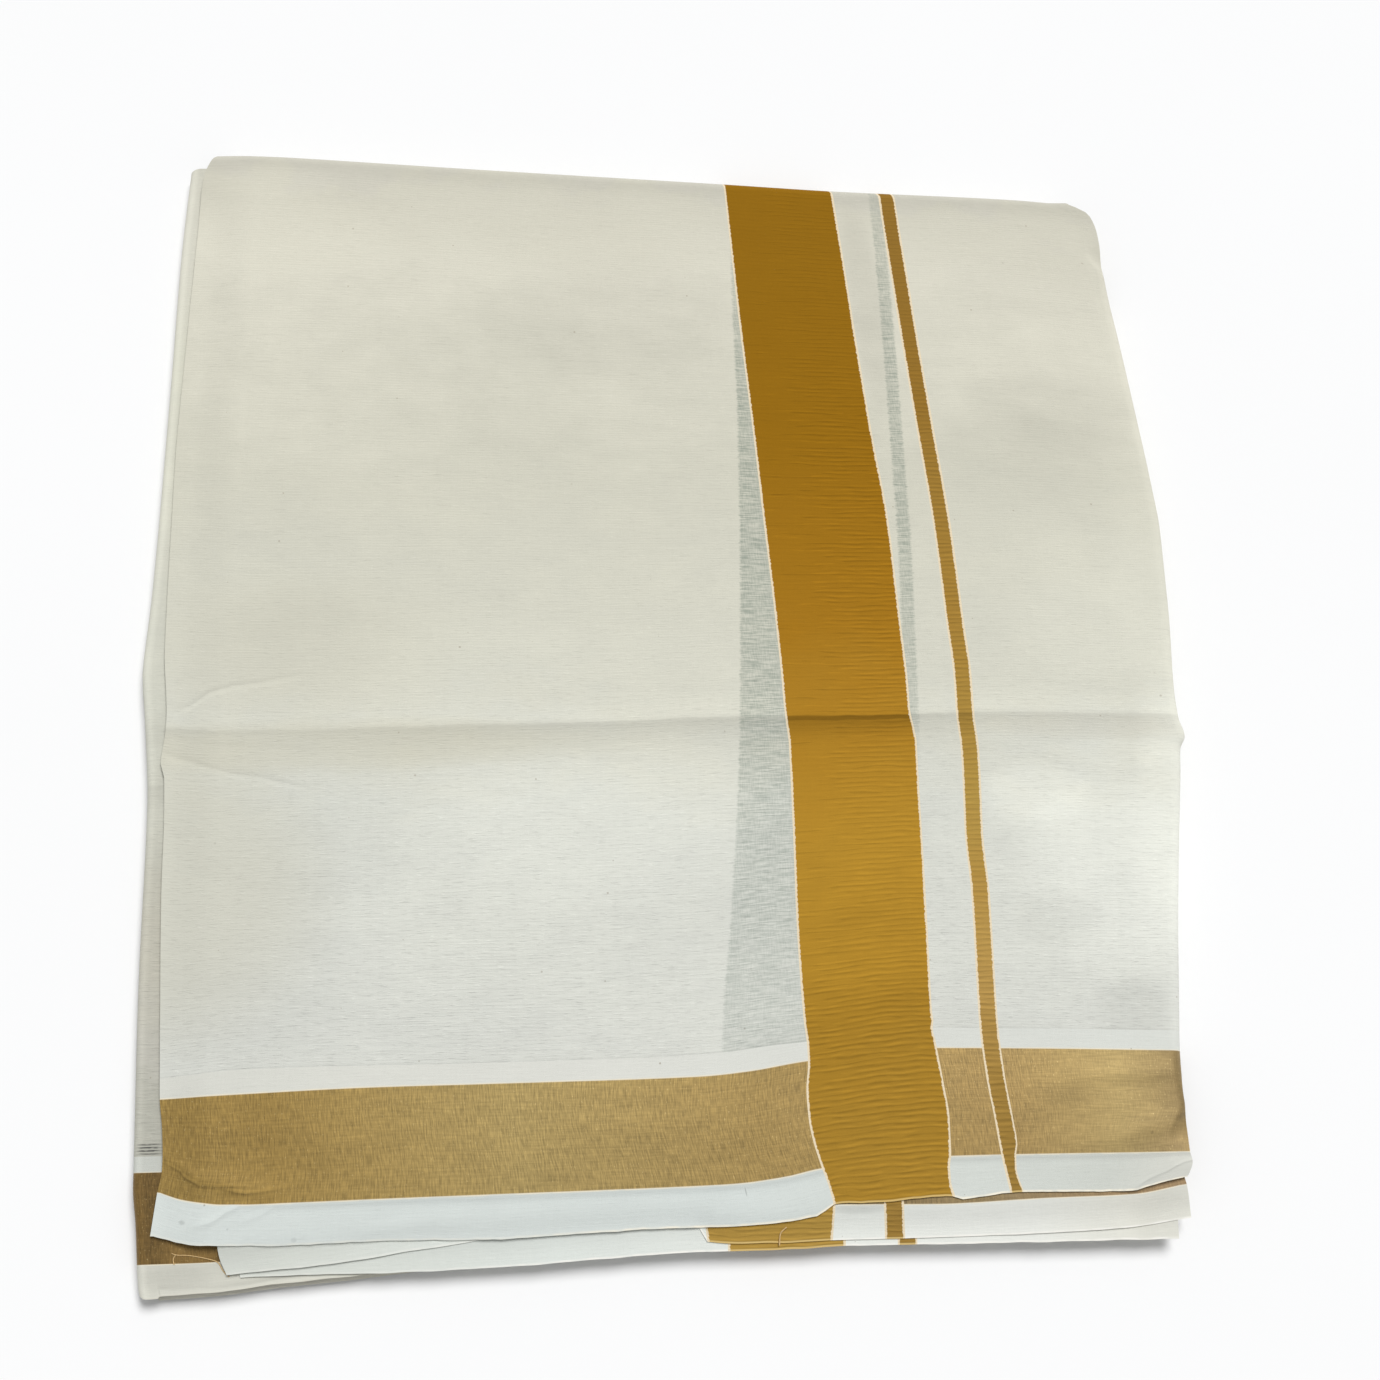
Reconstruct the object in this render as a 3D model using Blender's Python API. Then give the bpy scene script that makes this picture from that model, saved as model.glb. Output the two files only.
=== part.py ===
"""A folded double dhoti, lying flat.

One woven cotton cloth, folded lengthwise and then crosswise. The hem ends point to -Y, the
crosswise fold is at +Y and the cloth rests on Z = 0. Each stretch of cloth that shows is one
solid; the layers between them share one solid with layered edges. Sizes are in millimetres
and are turned to metres when a mesh is made.
"""

import math
from typing import NamedTuple

import bmesh
import bpy

MM = 0.001

# Cloth walls and the stack, from the floor up.
WALL = 1.2
GAP = 0.3
PITCH = WALL + GAP
CORE_LAYERS = 4
CORE_LAYER_THICKNESS = 0.9
CORE_THICKNESS = CORE_LAYERS * CORE_LAYER_THICKNESS

BACK_MID = WALL / 2
SIDE_LOWER_MID = BACK_MID + PITCH
CORE_BOTTOM = SIDE_LOWER_MID + WALL / 2 + GAP
CORE_TOP = CORE_BOTTOM + CORE_THICKNESS
SIDE_UPPER_MID = CORE_TOP + GAP + WALL / 2
THIRD_MID = SIDE_UPPER_MID + PITCH
SECOND_MID = THIRD_MID + PITCH
FRONT_MID = SECOND_MID + PITCH

# The two main folds.
CROSS_FOLD_RADIUS = (FRONT_MID - BACK_MID) / 2
CROSS_FOLD_CENTRE = (FRONT_MID + BACK_MID) / 2
SIDE_FOLD_RADIUS = (SIDE_UPPER_MID - SIDE_LOWER_MID) / 2
SIDE_FOLD_CENTRE = (SIDE_UPPER_MID + SIDE_LOWER_MID) / 2
INNER_CLEARANCE = CROSS_FOLD_RADIUS + WALL / 2 + 0.5

# The front panel's right edge rolls over the layers below it, along all but its two ends.
ROLL_RADIUS = 5.0
ROLL_ANGLE = math.radians(80)
ROLL_TAIL = 1.5
ROLL_RUN = ROLL_RADIUS * ROLL_ANGLE + ROLL_TAIL
ROLL_INSET = 7.0
ROLL_NEAR_START, ROLL_NEAR_FULL = -200.0, -165.0
ROLL_FAR_FULL, ROLL_FAR_END = 180.0, 212.0

# The front panel sags past the second end's left edge, which the sag starts just beside.
SAG_DROP = FRONT_MID - SIDE_UPPER_MID - PITCH
SAG_START = 2.0
SAG_WIDTH = 22.0
SAG_END = 35.0

# It crowns a little in the middle, falling off towards its edges over these widths.
CROWN = 1.4
CROWN_LEFT, CROWN_RIGHT, CROWN_HEM, CROWN_FOLD = 60.0, 47.0, 45.0, 70.0
CROWN_RIGHT_END = 212.0
RIDGE_END = 20.0

# Its right hem corner turns up: the lift grows with X - Y past this diagonal.
HEM_CORNER_LIFT = 1.3
HEM_CORNER_START, HEM_CORNER_END = 400.0, 426.0


class Edge(NamedTuple):
    """A point of an edge: at is the place along it, out is how far out the edge lies."""

    at: float
    out: float


class Crease(NamedTuple):
    """A soft ridge from one point to another, with its height and its two half widths."""

    x0: float
    y0: float
    x1: float
    y1: float
    height: float
    near_width: float
    far_width: float


class Zone(NamedTuple):
    """A part of a panel's length, up to a share of it, and the rows of faces there."""

    end: float
    rows: int


# Side edges: at is Y, out is X.
FRONT_LEFT = (
    Edge(-238.5, -196.2), Edge(-222.3, -195.4), Edge(-213.6, -194.7), Edge(-198.2, -196.6),
    Edge(-186.1, -198.7), Edge(-170.7, -200.2), Edge(-108, -206.0), Edge(-44, -212.0),
    Edge(-30, -212.0), Edge(6, -215.6), Edge(68, -218.6), Edge(113, -220.3),
    Edge(240, -221.0), Edge(262, -218.5),
)
FRONT_RIGHT = (
    Edge(-216.3, 211.3), Edge(-212.1, 213.7), Edge(-207.4, 214.9), Edge(-203, 214.3),
    Edge(-176.6, 213.4), Edge(-165.9, 214.4), Edge(-130, 216.0),
    Edge(-71, 222.3), Edge(-42, 225.8), Edge(-32, 228.9), Edge(-24, 225.7),
    Edge(20, 224.4), Edge(78, 222.8), Edge(139, 218.3), Edge(196, 210.8),
    Edge(218, 209.6), Edge(228, 206.5), Edge(234, 198.0),
)
SIDE_FOLD_LEFT = (
    Edge(-262.2, -196.5), Edge(-256, -200.4), Edge(-214, -206.7), Edge(-138, -213.4),
    Edge(-61, -217.8), Edge(-25, -222.5), Edge(1, -226.0), Edge(32, -225.4),
    Edge(137, -227.1), Edge(219, -228.9), Edge(256, -228.5),
)
SECOND_LEFT = (
    Edge(-254, -165.8), Edge(-242, -169.6), Edge(-40, -184.0), Edge(255, -193.0),
)
SECOND_RIGHT_NEAR = (
    Edge(-234, 213.4), Edge(-223, 212.6), Edge(-216, 211.7),
)

# Near edges and the crosswise fold: at is X, out is Y.
FRONT_HEM = (
    Edge(-196, -238.5), Edge(-176, -242.0), Edge(-100, -240.2), Edge(-6, -236.3),
    Edge(50.5, -233.7), Edge(58, -232.5), Edge(67.1, -230.3), Edge(72.7, -226.5),
    Edge(118.6, -223.5), Edge(122.9, -224.6), Edge(131.7, -223.5), Edge(145, -222.0),
    Edge(190, -221.5), Edge(212, -216.2),
)
SECOND_HEM = (
    Edge(-168, -253.9), Edge(-119, -249.3), Edge(-63, -239.6), Edge(-20, -235.8),
    Edge(24, -242.0), Edge(76, -241.8), Edge(110, -240.2), Edge(185, -236.2),
    Edge(213, -232.2),
)
THIRD_HEM = (
    Edge(-164, -254.6), Edge(-106, -253.0), Edge(-56, -250.4), Edge(19, -243.9),
    Edge(76, -242.9), Edge(155, -241.1), Edge(208, -239.8),
)
SIDE_FOLD_HEM = (
    Edge(-202, -253.0), Edge(-199.5, -259.5), Edge(-196, -262.2), Edge(-166, -259.3),
    Edge(-118, -254.9), Edge(-95, -251.4), Edge(-30, -245.0), Edge(76, -239.0),
    Edge(205, -236.0),
)
PACKING_CREASE = (
    Edge(-213, -29.7), Edge(-185, -31.8), Edge(-131, -31.2), Edge(-77, -29.4), Edge(-2, -27.6),
    Edge(30, -26.2), Edge(95, -25.3), Edge(149, -23.9), Edge(227, -24.2),
)
CROSS_FOLD = (
    Edge(-221, 262.0), Edge(-189, 262.2), Edge(-150, 258.8), Edge(32, 245.7),
    Edge(84, 241.8), Edge(174, 236.8), Edge(209, 233.0),
)

# How far hidden edges stand back from the ones that show.
UPPER_LEAF_SET_BACK = 3.0
SIDE_LEAF_SET_BACK = 1.5
THIRD_LEFT_SET_BACK = 5.0
THIRD_RIGHT = 208.0
BARE_CORNER_START, BARE_CORNER_END = -218.0, -200.0
BACK_HEM_SET_BACK = 26.0
BACK_LEFT_SET_BACK = 5.0
BACK_RIGHT_SET_BACK = 9.0
CORE_HEM_SET_BACK = 6.0
CORE_SIDE_SET_BACK = 2.0

# The hidden layers' round corners, and how deep the grooves between them are.
CORE_WIDTH, CORE_LENGTH = 400.0, 480.0
CORE_CORNER = 7.0
CORE_GROOVE = 0.8

# The packing fold that crosses the front panel is a ridge: at is X, out is how high it stands.
PACKING_HEIGHT = (
    Edge(-213, 0.45), Edge(-185, 0.6), Edge(-150, 0.95), Edge(-97, 1.4), Edge(-34, 1.6),
    Edge(149, 1.6), Edge(192, 1.4), Edge(227, 1.0),
)
# It falls off steeply on its near side and gently on its far side.
PACKING_NEAR_WIDTH, PACKING_FAR_WIDTH = 6.5, 22.0

# The front panel's soft ridges.
CREASES = (
    Crease(-208, -18, -165, 2, 0.5, 5.0, 8.0),
    Crease(-206, -42, -160, -58, 0.5, 5.0, 7.0),
    Crease(-190, 192, 205, 186, 0.6, 16.0, 20.0),
    Crease(175, -150, 213, -186, 0.4, 5.0, 6.0),
)

# Rows of the front panel's face, from its hem to the crosswise fold, and its columns.
FRONT_WIDTH = 430.0
FACE_ZONES = (
    Zone(0.10, 4), Zone(0.385, 7), Zone(0.445, 14), Zone(0.53, 6), Zone(0.90, 8), Zone(1.0, 4),
)
FOLD_ROWS = 8
BACK_ROWS = 4
FACE_COLUMNS = 22
LEFT_COLUMNS = 4
LEFT_COLUMN_WIDTH = 8.0
ROLL_COLUMNS = 4
SIDE_LEAF_COLUMNS = 13
SIDE_FOLD_COLUMNS = 8
SIDE_COLUMNS = 2 * SIDE_LEAF_COLUMNS + SIDE_FOLD_COLUMNS
SIDE_COLUMN_SPREAD = 1.5
SIDE_ROWS = 18
END_COLUMNS, END_ROWS = 18, 14
FACE_ROWS = sum(zone.rows for zone in FACE_ZONES)

COTTON = (0.70, 0.68, 0.58)
COTTON_WHITE = (0.72, 0.75, 0.71)
COTTON_CREAM = (0.60, 0.60, 0.51)
COTTON_SHADE = (0.52, 0.51, 0.45)


def smooth(value: float, start: float, end: float) -> float:
    """Rise smoothly from 0 at start to 1 at end."""
    share = min(max((value - start) / (end - start), 0.0), 1.0)
    return share * share * (3 - 2 * share)


def mix(a: float, b: float, share: float) -> float:
    """Go from a to b by a share of the way."""
    return a + (b - a) * share


def along(table: tuple[Edge, ...], at: float) -> float:
    """Read an edge table with a smooth curve that never swings past its rows."""
    at = min(max(at, table[0].at), table[-1].at)
    span = next(i for i in range(1, len(table)) if at <= table[i].at)
    slopes = [(b.out - a.out) / (b.at - a.at) for a, b in zip(table, table[1:])]

    def tangent(row: int) -> float:
        """Slope at a row: none where the edge turns back."""
        before, after = slopes[max(row - 1, 0)], slopes[min(row, len(slopes) - 1)]
        return 2 * before * after / (before + after) if before * after > 0 else 0.0

    low, high = table[span - 1], table[span]
    length = high.at - low.at
    t = (at - low.at) / length
    return (
        (2 * t**3 - 3 * t**2 + 1) * low.out
        + (t**3 - 2 * t**2 + t) * length * tangent(span - 1)
        + (3 * t**2 - 2 * t**3) * high.out
        + (t**3 - t**2) * length * tangent(span)
    )


def edge_at(table: tuple[Edge, ...], share: float) -> float:
    """Read an edge table at a share of the way between its ends."""
    return along(table, mix(table[0].at, table[-1].at, share))


def crease_height(crease: Crease, x: float, y: float) -> float:
    """Height of one crease at a point, fading at both its ends."""
    dx, dy = crease.x1 - crease.x0, crease.y1 - crease.y0
    length = math.hypot(dx, dy)
    share = ((x - crease.x0) * dx + (y - crease.y0) * dy) / length**2
    across = ((y - crease.y0) * dx - (x - crease.x0) * dy) / length
    width = crease.far_width if across > 0 else crease.near_width
    ends = smooth(share, -0.12, 0.06) * smooth(share, 1.12, 0.94)
    return crease.height * ends * math.exp(-((across / width) ** 2))


def packing_ridge(x: float, y: float) -> float:
    """Height of the packing fold's ridge at a point."""
    across = y - along(PACKING_CREASE, x)
    width = PACKING_FAR_WIDTH if across > 0 else PACKING_NEAR_WIDTH
    return along(PACKING_HEIGHT, x) * math.exp(-abs(across) / width)


def front_height(x: float, y: float, hem: float, fold: float) -> float:
    """Mid height of the front panel's face, before its right edge rolls over.

    hem and fold are the Y of the hem and of the fold's start in line with the point.
    """
    sag_start = along(SECOND_LEFT, y) - SAG_START
    sag = SAG_DROP * smooth(x, sag_start, sag_start - SAG_WIDTH) * smooth(y, fold, fold - SAG_END)
    crown = CROWN * smooth(x, sag_start, sag_start + CROWN_LEFT)
    crown *= smooth(x, CROWN_RIGHT_END, CROWN_RIGHT_END - CROWN_RIGHT)
    crown *= smooth(y, hem, hem + CROWN_HEM) * smooth(y, fold, fold - CROWN_FOLD)
    ridges = sum(crease_height(crease, x, y) for crease in CREASES)
    ridges *= smooth(y, fold, fold - RIDGE_END)
    lift = HEM_CORNER_LIFT * smooth(x - y, HEM_CORNER_START, HEM_CORNER_END)
    return FRONT_MID - sag + crown + ridges + lift + packing_ridge(x, y)


def roll_amount(y: float) -> float:
    """How far the right edge rolls over at Y: not at the hem, and not at the fold."""
    return smooth(y, ROLL_NEAR_START, ROLL_NEAR_FULL) * smooth(y, ROLL_FAR_END, ROLL_FAR_FULL)


def face_share(row: int) -> float:
    """Place of a row of the face, as a share of the way from the hem to the fold."""
    start = 0.0
    for zone in FACE_ZONES:
        if row <= zone.rows:
            return mix(start, zone.end, row / zone.rows)
        row -= zone.rows
        start = zone.end
    return 1.0


def place_on_face(column: int, y: float, height_at: float | None, hem: float, fold: float):
    """Place a point of a front panel column at Y.

    height_at is a fixed height for the fold and the back, or None for the face's own.
    """
    left, right = along(FRONT_LEFT, y), along(FRONT_RIGHT, y)
    angle = ROLL_ANGLE * roll_amount(y) if height_at is None else 0.0
    tail = ROLL_RUN - ROLL_RADIUS * angle
    reach = ROLL_RADIUS * math.sin(angle) + tail * math.cos(angle)
    bend = right - reach
    if column <= LEFT_COLUMNS:
        x = left + column * LEFT_COLUMN_WIDTH
    elif column <= FACE_COLUMNS:
        share = (column - LEFT_COLUMNS) / (FACE_COLUMNS - LEFT_COLUMNS)
        x = mix(left + LEFT_COLUMNS * LEFT_COLUMN_WIDTH, bend, share)
    else:
        x = bend
    z = front_height(x, y, hem, fold) if height_at is None else height_at
    if column > FACE_COLUMNS:
        run = ROLL_RUN * (column - FACE_COLUMNS) / ROLL_COLUMNS
        bent = min(run / ROLL_RADIUS, angle)
        straight = run - bent * ROLL_RADIUS
        x += ROLL_RADIUS * math.sin(bent) + straight * math.cos(angle)
        z -= ROLL_RADIUS * (1 - math.cos(bent)) + straight * math.sin(angle)
    return x, z


def column_share(column: int) -> float:
    """Place of a column of the front panel, as a share of its width."""
    narrow = LEFT_COLUMNS * LEFT_COLUMN_WIDTH / FRONT_WIDTH
    if column <= LEFT_COLUMNS:
        return narrow * column / LEFT_COLUMNS
    return mix(narrow, 1.0, min((column - LEFT_COLUMNS) / (FACE_COLUMNS - LEFT_COLUMNS), 1.0))


def front_point(column: int, row: int) -> tuple[float, float, float]:
    """Mid surface of the front panel: face, crosswise fold and back."""
    across = column_share(column)
    hem = edge_at(FRONT_HEM, across)
    fold = edge_at(CROSS_FOLD, across) - CROSS_FOLD_RADIUS - WALL / 2
    if row <= FACE_ROWS:
        y = mix(hem, fold, face_share(row))
        x, z = place_on_face(column, y, None, hem, fold)
        return x, y, z
    if row <= FACE_ROWS + FOLD_ROWS:
        turn = math.pi * (row - FACE_ROWS) / FOLD_ROWS
        y = fold + CROSS_FOLD_RADIUS * math.sin(turn)
        z = CROSS_FOLD_CENTRE + CROSS_FOLD_RADIUS * math.cos(turn)
        x = place_on_face(column, y, z, hem, fold)[0]
        return mix(x, inset_back(x, across), (1 - math.cos(turn)) / 2), y, z
    share = (row - FACE_ROWS - FOLD_ROWS) / BACK_ROWS
    y = mix(fold, hem + BACK_HEM_SET_BACK, share)
    x = place_on_face(column, y, BACK_MID, hem, fold)[0]
    return inset_back(x, across), y, BACK_MID


def inset_back(x: float, across: float) -> float:
    """Draw the back in from both sides of the face."""
    return x + mix(BACK_LEFT_SET_BACK, -BACK_RIGHT_SET_BACK, across)


def right_limit(y: float) -> float:
    """Right edge of the layers below the front panel: inside its roll, bare at the near corner."""
    under_roll = along(FRONT_RIGHT, y) - ROLL_INSET
    tucked = smooth(y, BARE_CORNER_START, BARE_CORNER_END)
    return mix(along(SECOND_RIGHT_NEAR, y), under_roll, tucked)


def inner_fold(left: float, u: float) -> float:
    """Y where a layer inside the crosswise fold ends, at a share u of its way from left."""
    return along(CROSS_FOLD, mix(left, CROSS_FOLD[-1].at, u)) - INNER_CLEARANCE


def second_point(u: float, v: float) -> tuple[float, float, float]:
    """Mid surface of the second end."""
    y = mix(edge_at(SECOND_HEM, u), inner_fold(SECOND_LEFT[-1].out, u), v)
    return mix(along(SECOND_LEFT, y), right_limit(y), u), y, SECOND_MID


def third_point(u: float, v: float) -> tuple[float, float, float]:
    """Mid surface of the third end, which lies a little inside the second."""
    y = mix(edge_at(THIRD_HEM, u), inner_fold(SECOND_LEFT[-1].out + THIRD_LEFT_SET_BACK, u), v)
    left = along(SECOND_LEFT, y) + THIRD_LEFT_SET_BACK
    bare = 1 - smooth(y, BARE_CORNER_START, BARE_CORNER_END)
    right = mix(right_limit(y), THIRD_RIGHT, bare)
    return mix(left, right, u), y, THIRD_MID


def side_fold_point(column: int, v: float) -> tuple[float, float, float]:
    """Mid surface of the side fold: lower leaf from the right, round the fold, upper leaf."""
    leaf = SIDE_LEAF_COLUMNS
    on_lower = column < leaf
    on_fold = leaf <= column <= leaf + SIDE_FOLD_COLUMNS
    turn = math.pi * min(max((column - leaf) / SIDE_FOLD_COLUMNS, 0.0), 1.0)
    upper_share = (1 - math.cos(turn)) / 2
    if on_fold:
        rightward = 0.0
    elif on_lower:
        rightward = 1 - column / leaf
    else:
        rightward = (column - leaf - SIDE_FOLD_COLUMNS) / leaf
    rightward = rightward**SIDE_COLUMN_SPREAD
    outward = SIDE_FOLD_RADIUS * math.sin(turn)
    first_centre = SIDE_FOLD_HEM[0].at + SIDE_FOLD_RADIUS + WALL
    near_x = mix(first_centre, SIDE_FOLD_HEM[-1].at, rightward) - outward
    hem = along(SIDE_FOLD_HEM, near_x) + UPPER_LEAF_SET_BACK * upper_share
    y = mix(hem, inner_fold(SIDE_FOLD_LEFT[-1].out, rightward), v)
    centre = along(SIDE_FOLD_LEFT, y) + SIDE_FOLD_RADIUS + WALL / 2
    x = mix(centre, along(FRONT_RIGHT, y) - ROLL_INSET - SIDE_LEAF_SET_BACK, rightward) - outward
    return x, y, SIDE_FOLD_CENTRE - SIDE_FOLD_RADIUS * math.cos(turn)


def core_point(u: float, v: float) -> tuple[float, float]:
    """Plan of the hidden layers, across and along."""
    hem = edge_at(SIDE_FOLD_HEM, u) + UPPER_LEAF_SET_BACK + CORE_HEM_SET_BACK
    y = mix(hem, inner_fold(SIDE_FOLD_LEFT[-1].out, u) - GAP, v)
    left = along(SIDE_FOLD_LEFT, y) + SIDE_FOLD_RADIUS + WALL / 2 + CORE_SIDE_SET_BACK
    right = along(FRONT_RIGHT, y) - ROLL_INSET - CORE_SIDE_SET_BACK
    return mix(left, right, u), y


def rounded_outline(width: float, length: float, corner: float) -> list[tuple[float, float]]:
    """Points round a rectangle with round corners, anticlockwise, as shares of its sides."""
    side_points, arc_points = 11, 4
    centres = (
        (width - corner, corner, -90), (width - corner, length - corner, 0),
        (corner, length - corner, 90), (corner, corner, 180),
    )
    points = []
    for index, (cx, cy, start) in enumerate(centres):
        for step in range(arc_points + 1):
            angle = math.radians(start + 90 * step / arc_points)
            points.append((cx + corner * math.cos(angle), cy + corner * math.sin(angle)))
        next_x, next_y, next_start = centres[(index + 1) % 4]
        from_x, from_y = points[-1]
        to_x = next_x + corner * math.cos(math.radians(next_start))
        to_y = next_y + corner * math.sin(math.radians(next_start))
        for step in range(1, side_points):
            share = step / side_points
            points.append((mix(from_x, to_x, share), mix(from_y, to_y, share)))
    return [(x / width, y / length) for x, y in points]


def cloth_material(name: str, colour: tuple[float, float, float]) -> bpy.types.Material:
    """A plain matt cotton."""
    material = bpy.data.materials.new(name)
    material.use_nodes = True
    shader = material.node_tree.nodes["Principled BSDF"]
    shader.inputs["Base Color"].default_value = (*colour, 1.0)
    shader.inputs["Roughness"].default_value = 0.85
    shader.inputs["Metallic"].default_value = 0.0
    return material


def add_object(name: str, bm: bmesh.types.BMesh, colour: tuple[float, float, float]):
    """Turn a finished bmesh into a named object with its own cotton."""
    mesh = bpy.data.meshes.new(name)
    bm.to_mesh(mesh)
    bm.free()
    mesh.shade_smooth()
    mesh.materials.append(cloth_material(f"{name}_cotton", colour))
    thing = bpy.data.objects.new(name, mesh)
    bpy.context.scene.collection.objects.link(thing)
    return thing


def make_panel(name: str, columns: int, rows: int, place, colour: tuple[float, float, float]):
    """Make a cloth panel: a grid laid on its mid surface, with a wall from Solidify."""
    bm = bmesh.new()
    bmesh.ops.create_grid(bm, x_segments=columns, y_segments=rows, size=0.5)
    for vert in bm.verts:
        u, v = vert.co.x + 0.5, vert.co.y + 0.5
        vert.co = [value * MM for value in place(u, v)]
    panel = add_object(name, bm, colour)
    wall = panel.modifiers.new("cloth wall", "SOLIDIFY")
    wall.thickness = WALL * MM
    wall.offset = 0.0
    wall.use_even_offset = True
    return panel


def make_front_panel():
    """The first end and the face, round the crosswise fold to the back that rests."""
    columns, rows = FACE_COLUMNS + ROLL_COLUMNS, FACE_ROWS + FOLD_ROWS + BACK_ROWS

    def place(u: float, v: float) -> tuple[float, float, float]:
        """Point of the grid by its whole column and row."""
        return front_point(round(u * columns), round(v * rows))

    return make_panel("front_panel", columns, rows, place, COTTON)


def make_side_fold_panel():
    """The lowest visible stretch, folded along the left side."""

    def place(u: float, v: float) -> tuple[float, float, float]:
        """Point of the grid by its whole column."""
        return side_fold_point(round(u * SIDE_COLUMNS), v)

    return make_panel("side_fold_panel", SIDE_COLUMNS, SIDE_ROWS, place, COTTON_CREAM)


def make_folded_core():
    """The hidden layers: one solid whose edge is grooved into layers."""
    outline = rounded_outline(CORE_WIDTH, CORE_LENGTH, CORE_CORNER)
    groove_profile = ((0.0, 1.0), (0.2, 0.25), (0.5, 0.0), (0.8, 0.25))
    levels = [
        (CORE_BOTTOM + (layer + height) * CORE_LAYER_THICKNESS, CORE_GROOVE * depth)
        for layer in range(CORE_LAYERS)
        for height, depth in groove_profile
    ]
    levels.append((CORE_TOP, CORE_GROOVE))
    bm = bmesh.new()
    rings = []
    for z, inset in levels:
        scale_u, scale_v = 1 - 2 * inset / CORE_WIDTH, 1 - 2 * inset / CORE_LENGTH
        ring = []
        for u, v in outline:
            x, y = core_point(0.5 + (u - 0.5) * scale_u, 0.5 + (v - 0.5) * scale_v)
            ring.append(bm.verts.new((x * MM, y * MM, z * MM)))
        rings.append(ring)
    count = len(outline)
    for low, high in zip(rings, rings[1:]):
        for i in range(count):
            j = (i + 1) % count
            bm.faces.new((low[i], low[j], high[j], high[i]))
    bm.faces.new(reversed(rings[0]))
    bm.faces.new(rings[-1])
    return add_object("folded_core", bm, COTTON_SHADE)


def main() -> None:
    """Clear the scene and build the folded cloth."""
    for old in list(bpy.data.objects):
        bpy.data.objects.remove(old, do_unlink=True)
    make_front_panel()
    make_panel("second_end_panel", END_COLUMNS, END_ROWS, second_point, COTTON_WHITE)
    make_panel("third_end_panel", END_COLUMNS, END_ROWS, third_point, COTTON_WHITE)
    make_side_fold_panel()
    make_folded_core()


main()
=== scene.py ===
"""Looks of a folded double dhoti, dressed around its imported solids.

One woven cotton cloth lies folded flat: a plain off-white ground, a mustard border band and a thin
mustard stripe that run with the warp, and a gold cross band with a plain margin at each end. Each
stretch that shows is a thin shell laid on a grid of cloth coordinates, so every woven line follows
its own threads. Lengths are in millimetres in the tables and in metres in the meshes.
"""

import logging
import math
from dataclasses import dataclass
from enum import Enum
from functools import wraps
from typing import Callable, NamedTuple, Optional, Sequence, Union

import bmesh
import bpy
import numpy as np
from bpy.types import ID, Material, Node, NodeSocket, NodeTree, Object
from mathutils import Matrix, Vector, noise

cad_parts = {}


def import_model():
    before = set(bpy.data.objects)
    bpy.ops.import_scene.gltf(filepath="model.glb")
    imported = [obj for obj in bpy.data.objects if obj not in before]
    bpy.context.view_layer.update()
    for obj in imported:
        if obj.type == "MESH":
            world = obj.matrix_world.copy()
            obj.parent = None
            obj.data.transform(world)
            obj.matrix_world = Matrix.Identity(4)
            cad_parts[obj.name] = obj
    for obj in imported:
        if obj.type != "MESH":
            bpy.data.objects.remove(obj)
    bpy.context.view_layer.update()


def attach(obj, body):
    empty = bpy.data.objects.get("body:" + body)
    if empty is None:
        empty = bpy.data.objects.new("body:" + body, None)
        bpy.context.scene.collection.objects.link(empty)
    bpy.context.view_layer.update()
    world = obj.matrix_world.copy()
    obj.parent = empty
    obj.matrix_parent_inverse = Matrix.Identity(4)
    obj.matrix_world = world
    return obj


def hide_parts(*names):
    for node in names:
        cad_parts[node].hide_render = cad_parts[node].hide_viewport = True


LOG = logging.getLogger("dhoti")
MM = 0.001
Array = np.ndarray
Number = Union[float, Array]
Triple = Colour = tuple[float, float, float]
Places = tuple[Array, Array, Array]


# ---- Edges and thread lines ----


class Line:
    """A smooth line through a short table: where it lies, out, for each place along it."""

    def __init__(self, *rows: tuple[float, float]) -> None:
        """Keep the rows.

        Args:
            rows: (place along, how far out) in millimetres, in rising order of place.
        """
        self.at = np.array([row[0] for row in rows], dtype=float)
        self.out = np.array([row[1] for row in rows], dtype=float)
        slopes = np.diff(self.out) / np.diff(self.at)
        before = np.concatenate([slopes[:1], slopes])
        after = np.concatenate([slopes, slopes[-1:]])
        same_way = before * after > 0
        total = np.where(same_way, before + after, 1.0)
        self.tangent = np.where(same_way, 2 * before * after / total, 0.0)

    def __call__(self, place: Array) -> Array:
        """Read the line, level beyond its ends.

        Args:
            place: places along the line.

        Returns:
            How far out the line lies at each place.
        """
        place = np.clip(place, self.at[0], self.at[-1])
        low = np.clip(np.searchsorted(self.at, place, side="right") - 1, 0, len(self.at) - 2)
        high = low + 1
        length = self.at[high] - self.at[low]
        t = (place - self.at[low]) / length
        return (
            (2 * t**3 - 3 * t**2 + 1) * self.out[low]
            + (t**3 - 2 * t**2 + t) * length * self.tangent[low]
            + (3 * t**2 - 2 * t**3) * self.out[high]
            + (t**3 - t**2) * length * self.tangent[high]
        )

    def moved(self, by: float) -> "Line":
        """Give the same line, moved out by a distance."""
        return Line(*zip(self.at, self.out + by))


def smooth(value: Array, start: float, end: float) -> Array:
    """Rise smoothly from 0 at start to 1 at end."""
    share = np.clip((value - start) / (end - start), 0.0, 1.0)
    return share * share * (3 - 2 * share)


def mix(a: Number, b: Number, share: Number) -> Number:
    """Go from a to b by a share of the way."""
    return a + (b - a) * share


def stations(*zones: tuple[float, int], start: float = 0.0) -> Array:
    """Places of grid lines, from the start through each zone's end.

    Args:
        zones: (end of the zone, number of steps in it), in order.
        start: where the first line lies.

    Returns:
        One rising array.
    """
    places = [start]
    for end, steps in zones:
        last = places[-1]
        places += [last + (end - last) * (i + 1) / steps for i in range(steps)]
    return np.array(places)


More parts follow.
